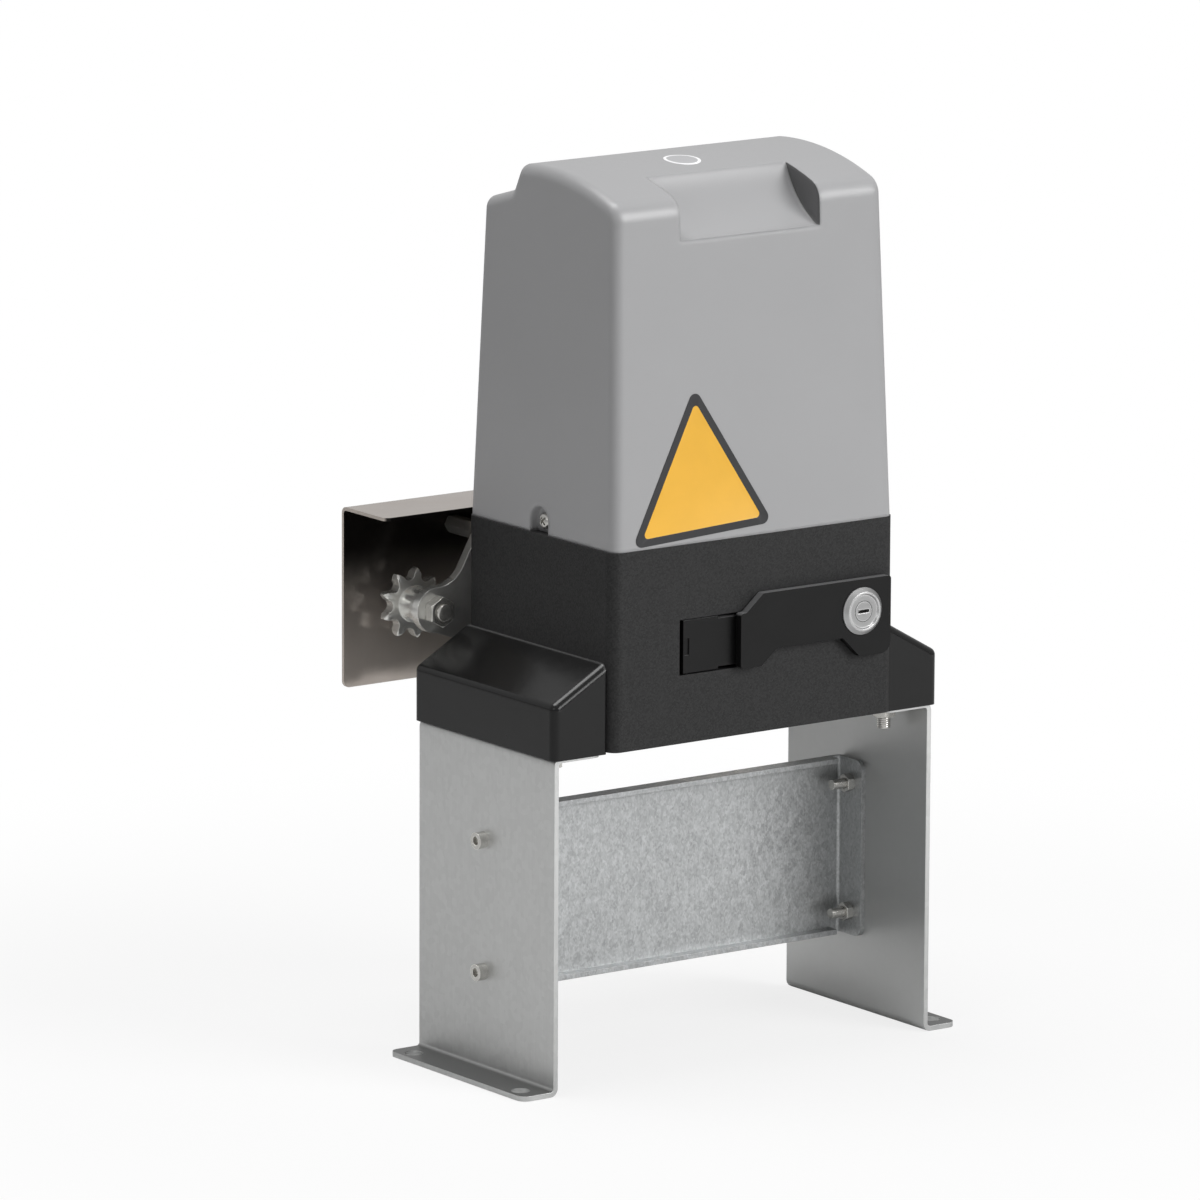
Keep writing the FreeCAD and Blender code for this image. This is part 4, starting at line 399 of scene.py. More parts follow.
def satin_paint(colours):
    """Satin black paint of the release lever, with a painted highlight on its upward faces."""
    made = Finish("satin_paint")
    grain = made.noise(1100.0, 2.0)
    smears = made.noise(35.0, 4.0)
    paint = colours.lever
    tone = made.shades(smears, paint, 0.75, 1.35)
    # Painted highlight on upward faces.
    painted_highlight = made.mix(made.facing("Z").stepped(0.15, 0.7), tone, shade_of(paint, 40.0))
    made.set(Base_Color=painted_highlight, Specular_IOR_Level=0.2)
    made.set(Roughness=smears * 0.12 + grain * 0.08 + 0.3)
    made.relief(grain, 0.00004, 0.0005)
    return made.material


def satin_nickel(colours, centre):
    """Satin nickel of the lock, spun so that its marks run round the face, with painted shade in its middle
    and painted highlights on its edges.
    """
    made = Finish("satin_nickel")
    spun = made.length(made.point((1.0, 0.0, 1.0), centre))
    turned = {"W": spun, "Scale": 2600.0}
    rings = made.node("ShaderNodeTexNoise", {"noise_dimensions": "1D"}, turned, "Fac")
    film = made.noise(160.0, 3.0)
    metal = colours.lock
    groove = spun.stepped(0.0057, 0.006) * (1.0 - spun.stepped(0.0062, 0.0066))
    face = made.shades(rings * 0.5 + film * 0.5, metal, 0.86, 1.08)
    # Painted shade in the middle of the face.
    painted_dark_core = made.mix(spun.stepped(0.0075, 0.0105), shade_of(metal, 0.8), face)
    # Painted highlights on the edges.
    painted_edge_highlight = made.mix(made.edges(0.0012), painted_dark_core, shade_of(metal, 2.0))
    made.set(Base_Color=made.mix(groove, painted_edge_highlight, shade_of(metal, 0.2)), Metallic=0.95)
    made.set(Roughness=rings * 0.14 + film * 0.08 + 0.26)
    made.relief(rings, 0.00003, 0.0004)
    return made.material


def plain_finish(name, colour, spread, roughness, metallic=0.0, scale=200.0, depth=0.00004):
    """A simple finish for inner pieces: mottled colour, uneven sheen and a shallow texture."""
    made = Finish(name)
    mottle = made.noise(scale, 4.0)
    clouds = made.noise(scale * 0.15, 3.0)
    tone = mottle * 0.5 + clouds * 0.5
    mottled = made.shades(tone, colour, 1.0 - spread, 1.0 + spread)
    made.set(Base_Color=mottled)
    made.set(Roughness=tone * 0.2 + (roughness - 0.1), Metallic=metallic)
    made.relief(mottle, depth, 0.0003)
    return made.material


def winding(colours):
    """Laminated stator: thin steel sheets stacked along the motor."""
    made = Finish("laminations")
    sheets = made.noise(1400.0, 0.0, (0.02, 0.02, 1.0))
    film = made.noise(60.0, 4.0)
    stacked = made.mix(sheets * 0.6 + film * 0.4, (0.12, 0.11, 0.1), (0.34, 0.31, 0.28))
    made.set(Base_Color=stacked, Metallic=0.7)
    made.set(Roughness=sheets * 0.2 + 0.4)
    made.relief(sheets, 0.0001, 0.0003)
    return made.material


def sign_sheet(name, colour):
    """Printed film of the warning plate and the disc: even ink over a slightly uneven film."""
    made = Finish(name)
    ink = made.noise(70.0, 4.0)
    film = made.noise(900.0, 2.0)
    made.set(Base_Color=made.shades(ink, colour, 0.93, 1.05))
    made.set(Roughness=ink * 0.12 + film * 0.06 + 0.28)
    made.relief(film, 0.00001, 0.0002)
    return made.material


# ---------------------------- mesh helpers

def solid_boxes(node):
    """The lowest and highest corners of each separate solid in a node."""
    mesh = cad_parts[node].data
    owner = {}

    def root(key):
        while owner[key] != key:
            key = owner[key]
        return key

    keys = [tuple(round(axis, 6) for axis in vertex.co) for vertex in mesh.vertices]
    for key in keys:
        owner[key] = key
    for polygon in mesh.polygons:
        first = root(keys[polygon.vertices[0]])
        for index in polygon.vertices:
            owner[root(keys[index])] = first
    islands = {}
    for key in owner:
        islands.setdefault(root(key), []).append(Vector(key))
    boxes = []
    for points in islands.values():
        low = Vector(min(point[axis] for point in points) for axis in range(3))
        high = Vector(max(point[axis] for point in points) for axis in range(3))
        boxes.append((low, high))
    return sorted(boxes, key=lambda corners: tuple(corners[0]))


def middle(corners):
    return (corners[0] + corners[1]) / 2


def surface_of(node):
    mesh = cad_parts[node].data
    places = [vertex.co for vertex in mesh.vertices]
    return BVHTree.FromPolygons(places, [face.vertices for face in mesh.polygons])


def landing(surface, start, direction):
    """Where a straight line from start meets a surface, and its outward direction there."""
    place, outward, _, _ = surface.ray_cast(start, direction)
    if place is None:
        raise RuntimeError(f"nothing of the model lies along {direction} from {start}")
    return place, outward


def placed(name, data):
    """A new object in the scene."""
    item = bpy.data.objects.new(name, data)
    bpy.context.scene.collection.objects.link(item)
    return item


def add_piece(name, shape, body, materials, smooth):
    """Make an object of a bmesh, seat it on its body and smooth it below an angle in degrees."""
    bmesh.ops.recalc_face_normals(shape, faces=shape.faces)
    mesh = bpy.data.meshes.new(name)
    shape.to_mesh(mesh)
    shape.free()
    mesh.shade_smooth()
    mesh.set_sharp_from_angle(angle=math.radians(smooth))
    for material in materials:
        mesh.materials.append(material)
    piece = placed(name, mesh)
    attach(piece, body)
    return piece


def add_steel(name, shape, smooth):
    """Add a piece of zinc plated steel to the housing."""
    piece = add_piece(name, shape, "housing", [bpy.data.materials["zinc_plate"]], smooth)
    return piece


def skin(shape, rows, looped=False):
    """Quads between rings of points of equal length, and from the last to the first if looped."""
    made = [[shape.verts.new(point) for point in row] for row in rows]
    following = made[1:] + made[:1] if looped else made[1:]
    for lower, upper in zip(made, following):
        for index in range(len(lower)):
            after = (index + 1) % len(lower)
            shape.faces.new((lower[index], lower[after], upper[after], upper[index]))
    return made


def spoke(angle, side, other):
    """The direction at an angle from side towards other."""
    return side * math.cos(angle) + other * math.sin(angle)


def ring_of(centre, side, other, reach, steps):
    """A ring of points round a centre, from side towards other."""
    return [centre + spoke(math.tau * step / steps, side, other) * reach for step in range(steps)]


def across_axis(axis):
    """Two directions square to an axis and to each other."""
    side = axis.orthogonal().normalized()
    return side, axis.cross(side)


def clamped(value):
    return min(1.0, max(0.0, value))


def thread(name, start, end, radius, pitch):
    """A screw thread that stands on a shank from start to end, with a short tapered tip."""
    turn_steps = 6
    corners = 40
    depth = 0.16 * pitch
    tip_width = 0.82
    tip_length = 0.25 * pitch
    axis = (end - start).normalized()
    side, other = across_axis(axis)
    length = (end - start).length
    steps = max(turn_steps, round(turn_steps * length / pitch))
    rows = []
    for step in range(steps + 1):
        along = length * step / steps
        row = []
        for corner in range(corners):
            turn = corner / corners
            wave = abs(((along / pitch - turn) % 1.0) * 2.0 - 1.0)
            row.append(start + axis * along + spoke(math.tau * turn, side, other) * (radius + depth * wave))
        rows.append(row)
    rows.append([end + (place - end) * tip_width + axis * tip_length for place in rows[-1]])
    shape = bmesh.new()
    made = skin(shape, rows)
    shape.faces.new(made[-1])
    return add_steel(name, shape, 50.0)


def rounded_triangle(side, radius, steps):
    """Corner points of an upright triangle with round corners, about its middle."""
    points = []
    inner = side / math.sqrt(3.0) - 2.0 * radius
    for corner in range(3):
        facing = math.pi / 2 + corner * math.tau / 3
        centre = spoke(facing, X_AXIS, Y_AXIS).to_2d() * inner
        for step in range(steps + 1):
            angle = facing - math.pi / 3 + (math.tau / 3) * step / steps
            points.append(centre + spoke(angle, X_AXIS, Y_AXIS).to_2d() * radius)
    return points


# ---------------------------- sizes and colours to change

class GateMotorColours(bpy.types.PropertyGroup):
    """Colours of the finishes."""

    cover: FloatVectorProperty(name="Cover", description="Grey of the moulded cover", subtype="COLOR",
                               default=(0.35, 0.35, 0.356), min=0.0, max=1.0)
    casting: FloatVectorProperty(name="Casting", description="Paint of the base housing", subtype="COLOR",
                                 default=(0.013, 0.013, 0.0132), min=0.0, max=1.0)
    caps: FloatVectorProperty(name="End caps", description="Black of the moulded end caps", subtype="COLOR",
                              default=(0.0025, 0.0025, 0.0025), min=0.0, max=1.0)
    lever: FloatVectorProperty(name="Lever", description="Black of the release lever", subtype="COLOR",
                               default=(0.0045, 0.0045, 0.0046), min=0.0, max=1.0)
    galvanised: FloatVectorProperty(name="Legs", description="Zinc of the legs", subtype="COLOR",
                                    default=(0.56, 0.565, 0.56), min=0.0, max=1.0)
    brace_zinc: FloatVectorProperty(name="Brace", description="Zinc of the cross brace", subtype="COLOR",
                                    default=(0.455, 0.465, 0.468), min=0.0, max=1.0)
    zinc: FloatVectorProperty(name="Fasteners", description="Zinc of screws and nuts", subtype="COLOR",
                              default=(0.6, 0.59, 0.56), min=0.0, max=1.0)
    nickel: FloatVectorProperty(name="Sprockets", description="Nickel of sprockets and arm", subtype="COLOR",
                                default=(0.78, 0.78, 0.75), min=0.0, max=1.0)
    guard: FloatVectorProperty(name="Guard", description="Steel of the chain guard", subtype="COLOR",
                               default=(0.6, 0.54, 0.49), min=0.0, max=1.0)
    lock: FloatVectorProperty(name="Lock", description="Nickel of the lock", subtype="COLOR",
                              default=(0.43, 0.43, 0.43), min=0.0, max=1.0)
    sign: FloatVectorProperty(name="Warning plate", description="Field of the blank warning plate",
                              subtype="COLOR", default=(0.82, 0.44, 0.03), min=0.0, max=1.0)
    sign_border: FloatVectorProperty(name="Plate border", description="Border of the blank warning plate",
                                     subtype="COLOR", default=(0.012, 0.012, 0.014), min=0.0, max=1.0)


class GateMotorSizes(bpy.types.PropertyGroup):
    """Sizes of what the scene adds to the model."""

    sign_side: FloatProperty(name="Plate side", description="Side of the plate with sharp corners",
                             default=101 * MM, unit="LENGTH")
    sign_corner: FloatProperty(name="Plate corner", description="Radius of the warning plate's corners",
                               default=4.2 * MM, unit="LENGTH")
    sign_edge: FloatProperty(name="Plate border", description="Width of the warning plate's border",
                             default=4.4 * MM, unit="LENGTH")
    sign_across: FloatProperty(name="Plate across", description="Place of the plate's middle along the front",
                               default=-39.3 * MM, unit="LENGTH")
    sign_above: FloatProperty(name="Plate above seam", description="Height of its middle over the seam",
                              default=32.7 * MM, unit="LENGTH")
    sign_tilt: FloatProperty(name="Plate tilt", description="Turn of the plate in its plane",
                             default=math.radians(2.8), unit="ROTATION")
    disc_radius: FloatProperty(name="Disc radius", description="Radius of the bare disc on the crown",
                               default=11 * MM, unit="LENGTH")
    disc_across: FloatProperty(name="Disc across", description="Place of the disc along the motor",
                               default=-8 * MM, unit="LENGTH")
    disc_back: FloatProperty(name="Disc back", description="Place of the disc from front to back",
                             default=-13 * MM, unit="LENGTH")
    screw_height: FloatProperty(name="Cover screw height", description="Height of the cover screws' heads",
                                default=3.2 * MM, unit="LENGTH")
    idler_bolt: FloatProperty(name="Idler bolt", description="Radius of the idler bolts' shanks",
                              default=5.2 * MM, unit="LENGTH")
    idler_flats: FloatProperty(name="Idler flats", description="Width of their heads and nuts",
                               default=16 * MM, unit="LENGTH")
    film: FloatProperty(name="Film", description="Thickness of the warning plate and the disc",
                        default=0.25 * MM, unit="LENGTH")


class GateMotorStage(bpy.types.PropertyGroup):
    """Camera and light."""

    azimuth: FloatProperty(name="Azimuth", description="Turn of the camera round the motor",
                           default=math.radians(-36.34), unit="ROTATION")
    elevation: FloatProperty(name="Elevation", description="Height of the camera above the horizon",
                             default=math.radians(11.80), unit="ROTATION")
    roll: FloatProperty(name="Roll", description="Turn of the camera about its line of sight",
                        default=math.radians(0.35), unit="ROTATION")
    distance: FloatProperty(name="Distance", description="From the camera to the middle of the motor",
                            default=5.8973, unit="LENGTH")
    aim: FloatProperty(name="Aim", description="Height that the camera looks at",
                       default=250 * MM, unit="LENGTH")
    lens: FloatProperty(name="Lens", description="Focal length in millimetres", default=302.1)
    shift_x: FloatProperty(name="Shift across", description="Sideways shift of the picture", default=-0.0642)
    shift_y: FloatProperty(name="Shift up", description="Upward shift of the picture", default=0.0219)
    key_power: FloatProperty(name="Key lamp", description="Watts of the large lamp in front", default=67.0)
    top_power: FloatProperty(name="Top lamp", description="Watts of the lamp overhead", default=42.0)
    side_power: FloatProperty(name="Side lamp", description="Watts of the small left lamp", default=3.5)
    ambient: FloatProperty(name="Ambient", description="Light from all round, 1 is white", default=0.144)
    reflection: FloatProperty(name="Reflection", description="The room in reflections, 1 is white",
                              default=0.576)


COLLECTIONS = {
    "gate_motor_colours": GateMotorColours,
    "gate_motor_sizes": GateMotorSizes,
    "gate_motor_stage": GateMotorStage,
}


# ---------------------------- pieces

class GATEMOTOR_OT_finishes(bpy.types.Operator):
    """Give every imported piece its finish"""

    bl_idname = "gatemotor.finishes"
    bl_label = "Finishes"

    def execute(self, context):
        colours = context.scene.gate_motor_colours
        worn = {
            galvanised_leg(colours): ("bracket_left", "bracket_right"),
            galvanised_brace(colours): ("cross_brace",),
            zinc_plate(colours): (
                "brace_screws", "brace_nuts", "mounting_bolts", "mounting_washers", "mounting_nuts",
                "cover_screws", "arm_screws", "idler_bolts", "idler_washers", "idler_nuts", "guard_screws",
                "guard_pillars", "lid_screws", "shaft_nut", "lever_hinge_pin", "capacitor_clip",
            ),
            nickel(colours): (
                "idler_sprocket_left", "idler_sprocket_right", "idler_arm", "drive_sprocket",
            ),
            machined_steel(colours): (
                "output_shaft", "sprocket_key", "rotor_shaft", "shaft_bearings", "rotor_bearings",
            ),
            polished_sheet(colours): ("chain_guard",),
            textured_paint(colours): ("base_housing",),
            gloss_moulding(colours): ("end_cap_left", "end_cap_right"),
            grey_cover(colours): ("top_cover",),
            satin_paint(colours): ("release_lever",),
            satin_nickel(colours, middle(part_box("lock_body"))): ("lock_body", "lock_plug", "lock_cam"),
            winding(colours): ("motor_stator", "rotor_core"),
            plain_finish("bronze", (0.5, 0.3, 0.12), 0.2, 0.3, 1.0): (
                "worm_wheel", "idler_bush_left", "idler_bush_right",
            ),
            plain_finish("cast_aluminium", (0.5, 0.5, 0.5), 0.15, 0.45, 0.9, 500.0, 0.0001): (
                "gearbox_lid", "motor_bell_lower", "motor_bell_upper",
            ),
            plain_finish("seal_rubber", (0.015, 0.015, 0.015), 0.3, 0.7): ("oil_seal",),
            plain_finish("circuit_board", (0.02, 0.14, 0.06), 0.25, 0.35, 0.0, 900.0): ("control_board",),
            plain_finish("dark_moulding", (0.02, 0.02, 0.021), 0.3, 0.5): (
                "board_frame", "relays", "transformer",
            ),
            plain_finish("terminal_moulding", (0.04, 0.25, 0.1), 0.15, 0.4): ("terminal_blocks",),
            plain_finish("pale_moulding", (0.6, 0.6, 0.58), 0.08, 0.35): ("capacitor",),
        }
        for material, nodes in worn.items():
            for node in nodes:
                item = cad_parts[node]
                item.data.materials.clear()
                item.data.materials.append(material)
        bare = set(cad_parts) - {node for nodes in worn.values() for node in nodes}
        if bare:
            raise RuntimeError(f"these pieces have no finish: {sorted(bare)}")
        return {"FINISHED"}


def pan_head(shape, centre, outward, radius, height):
    """A pan head with a cross recess, as a round grid of points raised by a formula."""
    side, other = across_axis(outward)
    rings = 26
    corners = 96
    slot_half = 0.13 * radius
    slot_reach = 0.62 * radius
    slot_depth = 0.62 * height
    dome_fall = 0.28
    rim_start = 0.8
    rim_fall = 1.25
    rows = [ring_of(centre, side, other, radius, corners)]
    for ring in range(rings, -1, -1):
        share = ring / rings
        dome = height * (1.0 - dome_fall * share ** 2 - rim_fall * max(0.0, share - rim_start))
        row = []
        for place in ring_of(Vector(), X_AXIS, Y_AXIS, share * radius, corners):
            narrow, reach = sorted((abs(place.x), abs(place.y)))
            inside = clamped((slot_half - narrow) / (0.3 * slot_half))
            inside *= clamped((slot_reach - reach) / (0.15 * slot_reach))
            raised = dome - slot_depth * inside
            row.append(centre + side * place.x + other * place.y + outward * raised)
        rows.append(row)
    skin(shape, rows)


class GATEMOTOR_OT_cover_screws(bpy.types.Operator):
    """Make the cover's cross-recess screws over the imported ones"""

    bl_idname = "gatemotor.cover_screws"
    bl_label = "Cover screws"

    def execute(self, context):
        height = context.scene.gate_motor_sizes.screw_height
        for count, (low, high) in enumerate(solid_boxes("cover_screws")):
            centre = middle((low, high))
            outward = X_AXIS * math.copysign(1.0, centre.x)
            outer = high.x if outward.x > 0 else low.x
            centre.x = outer - outward.x * height
            shape = bmesh.new()
            pan_head(shape, centre, outward, (high.z - low.z) / 2, height)
            piece = add_steel(f"cover_screw_head_{count}", shape, 40.0)
            if count == 0:
                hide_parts("cover_screws")
        return {"FINISHED"}


class GATEMOTOR_OT_threads(bpy.types.Operator):
    """Cut threads on the open ends of the bolts"""

    bl_idname = "gatemotor.threads"
    bl_label = "Threads"

    def execute(self, context):
        self.pair("brace_screws", "brace_nuts", 0, BRACE_BOLT, 1.0 * MM)
        self.pair("mounting_bolts", "mounting_nuts", 2, MOUNTING_BOLT, 1.25 * MM)
        return {"FINISHED"}

    def pair(self, bolts, nuts, axis, radius, pitch):
        """Thread each bolt from its nut's open face to its tip."""
        for count, (bolt, hexagon) in enumerate(zip(solid_boxes(bolts), solid_boxes(nuts))):
            start = middle(bolt)
            end = middle(bolt)
            open_side = 0 if middle(hexagon)[axis] < start[axis] else 1
            start[axis] = hexagon[open_side][axis]
            end[axis] = bolt[open_side][axis]
            thread(f"{bolts}_thread_{count}", start, end, radius, pitch)


def hexagon_reach(angle, flats):
    """Distance from a hexagon's middle to its side in a direction measured from a corner."""
    turned = (angle % (math.pi / 3)) - math.pi / 6
    return flats / 2 / math.cos(turned)


def nut_shape(centre, axis, flats, height, bore, corner):
    """A chamfered hexagon nut with a countersunk bore, as rings of points closed on themselves."""
    other = axis.cross(corner)
    steps = 84
    widest = flats / math.sqrt(3.0)
    lowest = 0.47 * flats
    chamfer = (widest - lowest) * 0.5
    ends = [(height / 2 - chamfer * share ** 2, lowest + (widest - lowest) * share)
            for share in (0.0, 0.25, 0.5, 0.75, 1.0)]
    rows = []
    for along, limit in ends + [(-along, limit) for along, limit in reversed(ends)]:
        row = []
        for step in range(steps):
            angle = math.tau * step / steps
            reach = min(hexagon_reach(angle, flats), limit)
            row.append(centre + axis * along + spoke(angle, corner, other) * reach)
        rows.append(row)
    sunk = 0.12 * bore
    outer = height / 2
    inner = outer - sunk
    for along, reach in ((-outer, bore + sunk), (-inner, bore), (inner, bore), (outer, bore + sunk)):
        rows.append(ring_of(centre + axis * along, corner, other, reach, steps))
    shape = bmesh.new()
    skin(shape, rows, looped=True)
    return shape


class GATEMOTOR_OT_nuts(bpy.types.Operator):
    """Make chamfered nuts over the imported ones"""

    bl_idname = "gatemotor.nuts"
    bl_label = "Nuts"

    def execute(self, context):
        self.replace("brace_nuts", 0, BRACE_BOLT)
        self.replace("mounting_nuts", 2, MOUNTING_BOLT)
        return {"FINISHED"}

    def replace(self, node, axis, bore):
        """Make a nut over each packed one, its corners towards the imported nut's wider sides."""
        for count, (low, high) in enumerate(solid_boxes(node)):
            size = high - low
            narrow, wide = sorted({0, 1, 2} - {axis}, key=lambda index: size[index])
            centre = middle((low, high))
            shape = nut_shape(centre, AXES[axis], size[narrow], size[axis], bore, AXES[wide])
            piece = add_steel(f"{node}_detail_{count}", shape, 28.0)
            if count == 0:
                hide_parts(node)


def sprocket_outline(teeth, pitch, roller):
    """Angles and radii round a sprocket with round roller seats and pointed teeth."""
    pitch_radius = pitch / 2 / math.sin(math.pi / teeth)
    tip_radius = pitch / 2 * (0.6 + 1 / math.tan(math.pi / teeth))
    widest = math.asin(roller / pitch_radius)
    seat_steps = 7
    half = []
    for step in range(seat_steps + 1):
        angle = widest * step / seat_steps
        depth = math.sqrt(max(0.0, roller ** 2 - (pitch_radius * math.sin(angle)) ** 2))
        half.append((angle, pitch_radius * math.cos(angle) - depth))
    top = math.pi / teeth
    start_angle, start_radius = half[-1]
    for share in (0.35, 0.7, 0.88):
        half.append((start_angle + (top - start_angle) * share * 0.92,
                     start_radius + (tip_radius - start_radius) * share ** 0.85))
    point_half = 0.012
    point_fall = 0.05 * MM
    half.append((top - point_half, tip_radius - point_fall))
    tooth = [(-angle, radius) for angle, radius in reversed(half[1:])] + half
    points = []
    for count in range(teeth):
        turn = (count + 0.5) * math.tau / teeth
        points += [(turn + angle, radius) for angle, radius in tooth]
    return points


# In millimetres: in from a tooth's side and down from its tip, then in front of the teeth and out
# from the axis, then back from the hub's front and out from the axis.
TOOTH_CHAMFER = ((0.02, 2.2), (0.9, 0.7), (1.6, 0.0))
SHOULDER = ((0.0, 12.2), (0.5, 10.9), (1.6, 10.5))
COLLARED_HUB = (
    (5.4, 10.5), (5.3, 10.1), (4.7, 10.1), (4.6, 11.3), (0.8, 11.3), (0.0, 10.6), (0.0, 8.5), (0.4, 8.05),
)


class GATEMOTOR_OT_sprockets(bpy.types.Operator):
    """Make the idler sprockets with pointed, chamfered teeth and a collared hub"""

    bl_idname = "gatemotor.sprockets"
    bl_label = "Idler sprockets"

    def execute(self, context):
        metal = bpy.data.materials["nickel"]
        outline = sprocket_outline(teeth=9, pitch=12.7 * MM, roller=4.08 * MM)
        tip = max(radius for _, radius in outline)
        tooth_width = 7.0 * MM
        bore = 8.05 * MM
        back_hub = 10.6 * MM
        chamfer = [(inward * MM, tip - below * MM) for inward, below in TOOTH_CHAMFER]
        for side in ("left", "right"):
            node = f"idler_sprocket_{side}"
            low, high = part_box(node)
            start = high.y - tooth_width
            profile = [(high.y, bore), (high.y, back_hub)]
            profile += [(high.y - inward, reach) for inward, reach in chamfer]
            profile += [(start + inward, reach) for inward, reach in reversed(chamfer)]
            profile += [(start - before * MM, reach * MM) for before, reach in SHOULDER]
            profile += [(low.y + along * MM, reach * MM) for along, reach in COLLARED_HUB]
            centre = middle((low, high))
            rows = []
            for along, limit in profile:
                centre.y = along
                rows.append([centre + spoke(angle, X_AXIS, Z_AXIS) * min(radius, limit)
                             for angle, radius in outline])
            shape = bmesh.new()
            skin(shape, rows, looped=True)
            piece = add_piece(f"{node}_detail", shape, f"idler_{side}", [metal], 32.0)
            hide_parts(node)
        return {"FINISHED"}


# Millimetres back from a bolt's tip, and the share of its shank's radius there.
DOMED_END = ((1.2, 1.0), (0.7, 0.95), (0.4, 0.84), (0.3, 0.72), (0.08, 0.5), (0.01, 0.25), (0.0, 0.02))


class GATEMOTOR_OT_idler_bolts(bpy.types.Operator):
    """Make the idler bolts with chamfered heads, domed ends and their nuts"""

    bl_idname = "gatemotor.idler_bolts"
    bl_label = "Idler bolts"

    def execute(self, context):
        sizes = context.scene.gate_motor_sizes
        radius = sizes.idler_bolt
        head_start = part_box("idler_bush_left")[1].y
        boxes = zip(solid_boxes("idler_bolts"), solid_boxes("idler_nuts"))
        for count, ((low, high), (nut_low, nut_high)) in enumerate(boxes):
            inside_head = high.y - 0.3 * MM
            profile = [(inside_head, 0.05), (inside_head, 1.0)]
            profile += [(low.y + along * MM, share) for along, share in DOMED_END]
            centre = middle((low, high))
            rows = []
            for along, share in profile:
                centre.y = along
                rows.append(ring_of(centre, X_AXIS, Z_AXIS, share * radius, 60))
            shape = bmesh.new()
            skin(shape, rows)
            shank = add_steel(f"idler_bolt_{count}", shape, 32.0)
            for name, start, end, bore in (("head", head_start, high.y, 0.3 * radius),
                                           ("nut", nut_low.y, nut_high.y, radius)):
                centre.y = (start + end) / 2
                shape = nut_shape(centre, Y_AXIS, sizes.idler_flats, end - start, bore, Z_AXIS)
                hexagon = add_steel(f"idler_{name}_{count}", shape, 28.0)
            if count == 0:
                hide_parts("idler_bolts")
                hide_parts("idler_nuts")
        return {"FINISHED"}


class GATEMOTOR_OT_warning_plate(bpy.types.Operator):
    """Lay the blank warning plate on the front of the cover"""

    bl_idname = "gatemotor.warning_plate"
    bl_label = "Warning plate"

    def execute(self, context):
        sizes = context.scene.gate_motor_sizes
        colours = context.scene.gate_motor_colours
        low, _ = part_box("top_cover")
        in_front = 0.1
        start = Vector((sizes.sign_across, low.y - in_front, low.z + sizes.sign_above))
        centre, outward = landing(surface_of("top_cover"), start, Y_AXIS)
        if outward.y > 0:
            outward = -outward
        upward = outward.cross(X_AXIS).normalized()
        if upward.z < 0:
            upward = -upward
        turn = Matrix.Rotation(sizes.sign_tilt, 2)

        def loop(side, radius, raised):
            places = [turn @ corner for corner in rounded_triangle(side, radius, 10)]
            return [centre + X_AXIS * place.x + upward * place.y + outward * raised for place in places]

        field_side = sizes.sign_side - 2.0 * math.sqrt(3.0) * sizes.sign_edge
        field_corner = sizes.sign_corner * 0.55
        shape = bmesh.new()
        rows = skin(shape, [
            loop(sizes.sign_side, sizes.sign_corner, -0.3 * sizes.film),
            loop(sizes.sign_side, sizes.sign_corner, sizes.film),
            loop(field_side, field_corner, sizes.film),
            loop(field_side - 0.3 * MM, field_corner, 0.85 * sizes.film),
        ])
        shape.faces.new(rows[-1]).material_index = 1
        border = sign_sheet("plate_border", colours.sign_border)
        materials = [border, sign_sheet("plate_field", colours.sign)]
        add_piece("warning_plate", shape, "housing", materials, 20.0)
        return {"FINISHED"}


class GATEMOTOR_OT_crown_disc(bpy.types.Operator):
    """Lay the bare pale disc on the cover's crown"""

    bl_idname = "gatemotor.crown_disc"
    bl_label = "Crown disc"

    def execute(self, context):
        sizes = context.scene.gate_motor_sizes
        _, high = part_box("top_cover")
        surface = surface_of("top_cover")
        above = 0.05
        centre = Vector((sizes.disc_across, sizes.disc_back, high.z + above))
        rings = 12
        pinhole = 0.002
        border_start = 0.86
        rows = []
        for ring in range(rings + 2):
            reach = max(min(1.0, ring / rings), pinhole) * sizes.disc_radius
            lift = Z_AXIS * sizes.film
            if ring > rings:
                lift = lift * -0.3
            elif ring > rings * border_start:
                lift = lift * 0.7
            circle = ring_of(centre, X_AXIS, Y_AXIS, reach, 72)
            rows.append([landing(surface, place, -Z_AXIS)[0] + lift for place in circle])
        shape = bmesh.new()
        skin(shape, rows)
        film = sign_sheet("disc_film", (0.92, 0.92, 0.93))
        materials = [film, sign_sheet("disc_field", (0.42, 0.42, 0.43))]
        for face in shape.faces:
            reach = max((vertex.co - centre).to_2d().length for vertex in face.verts)
            face.material_index = 1 if reach < 0.84 * sizes.disc_radius else 0
        add_piece("crown_disc", shape, "housing", materials, 30.0)
        return {"FINISHED"}


# ---------------------------- stage

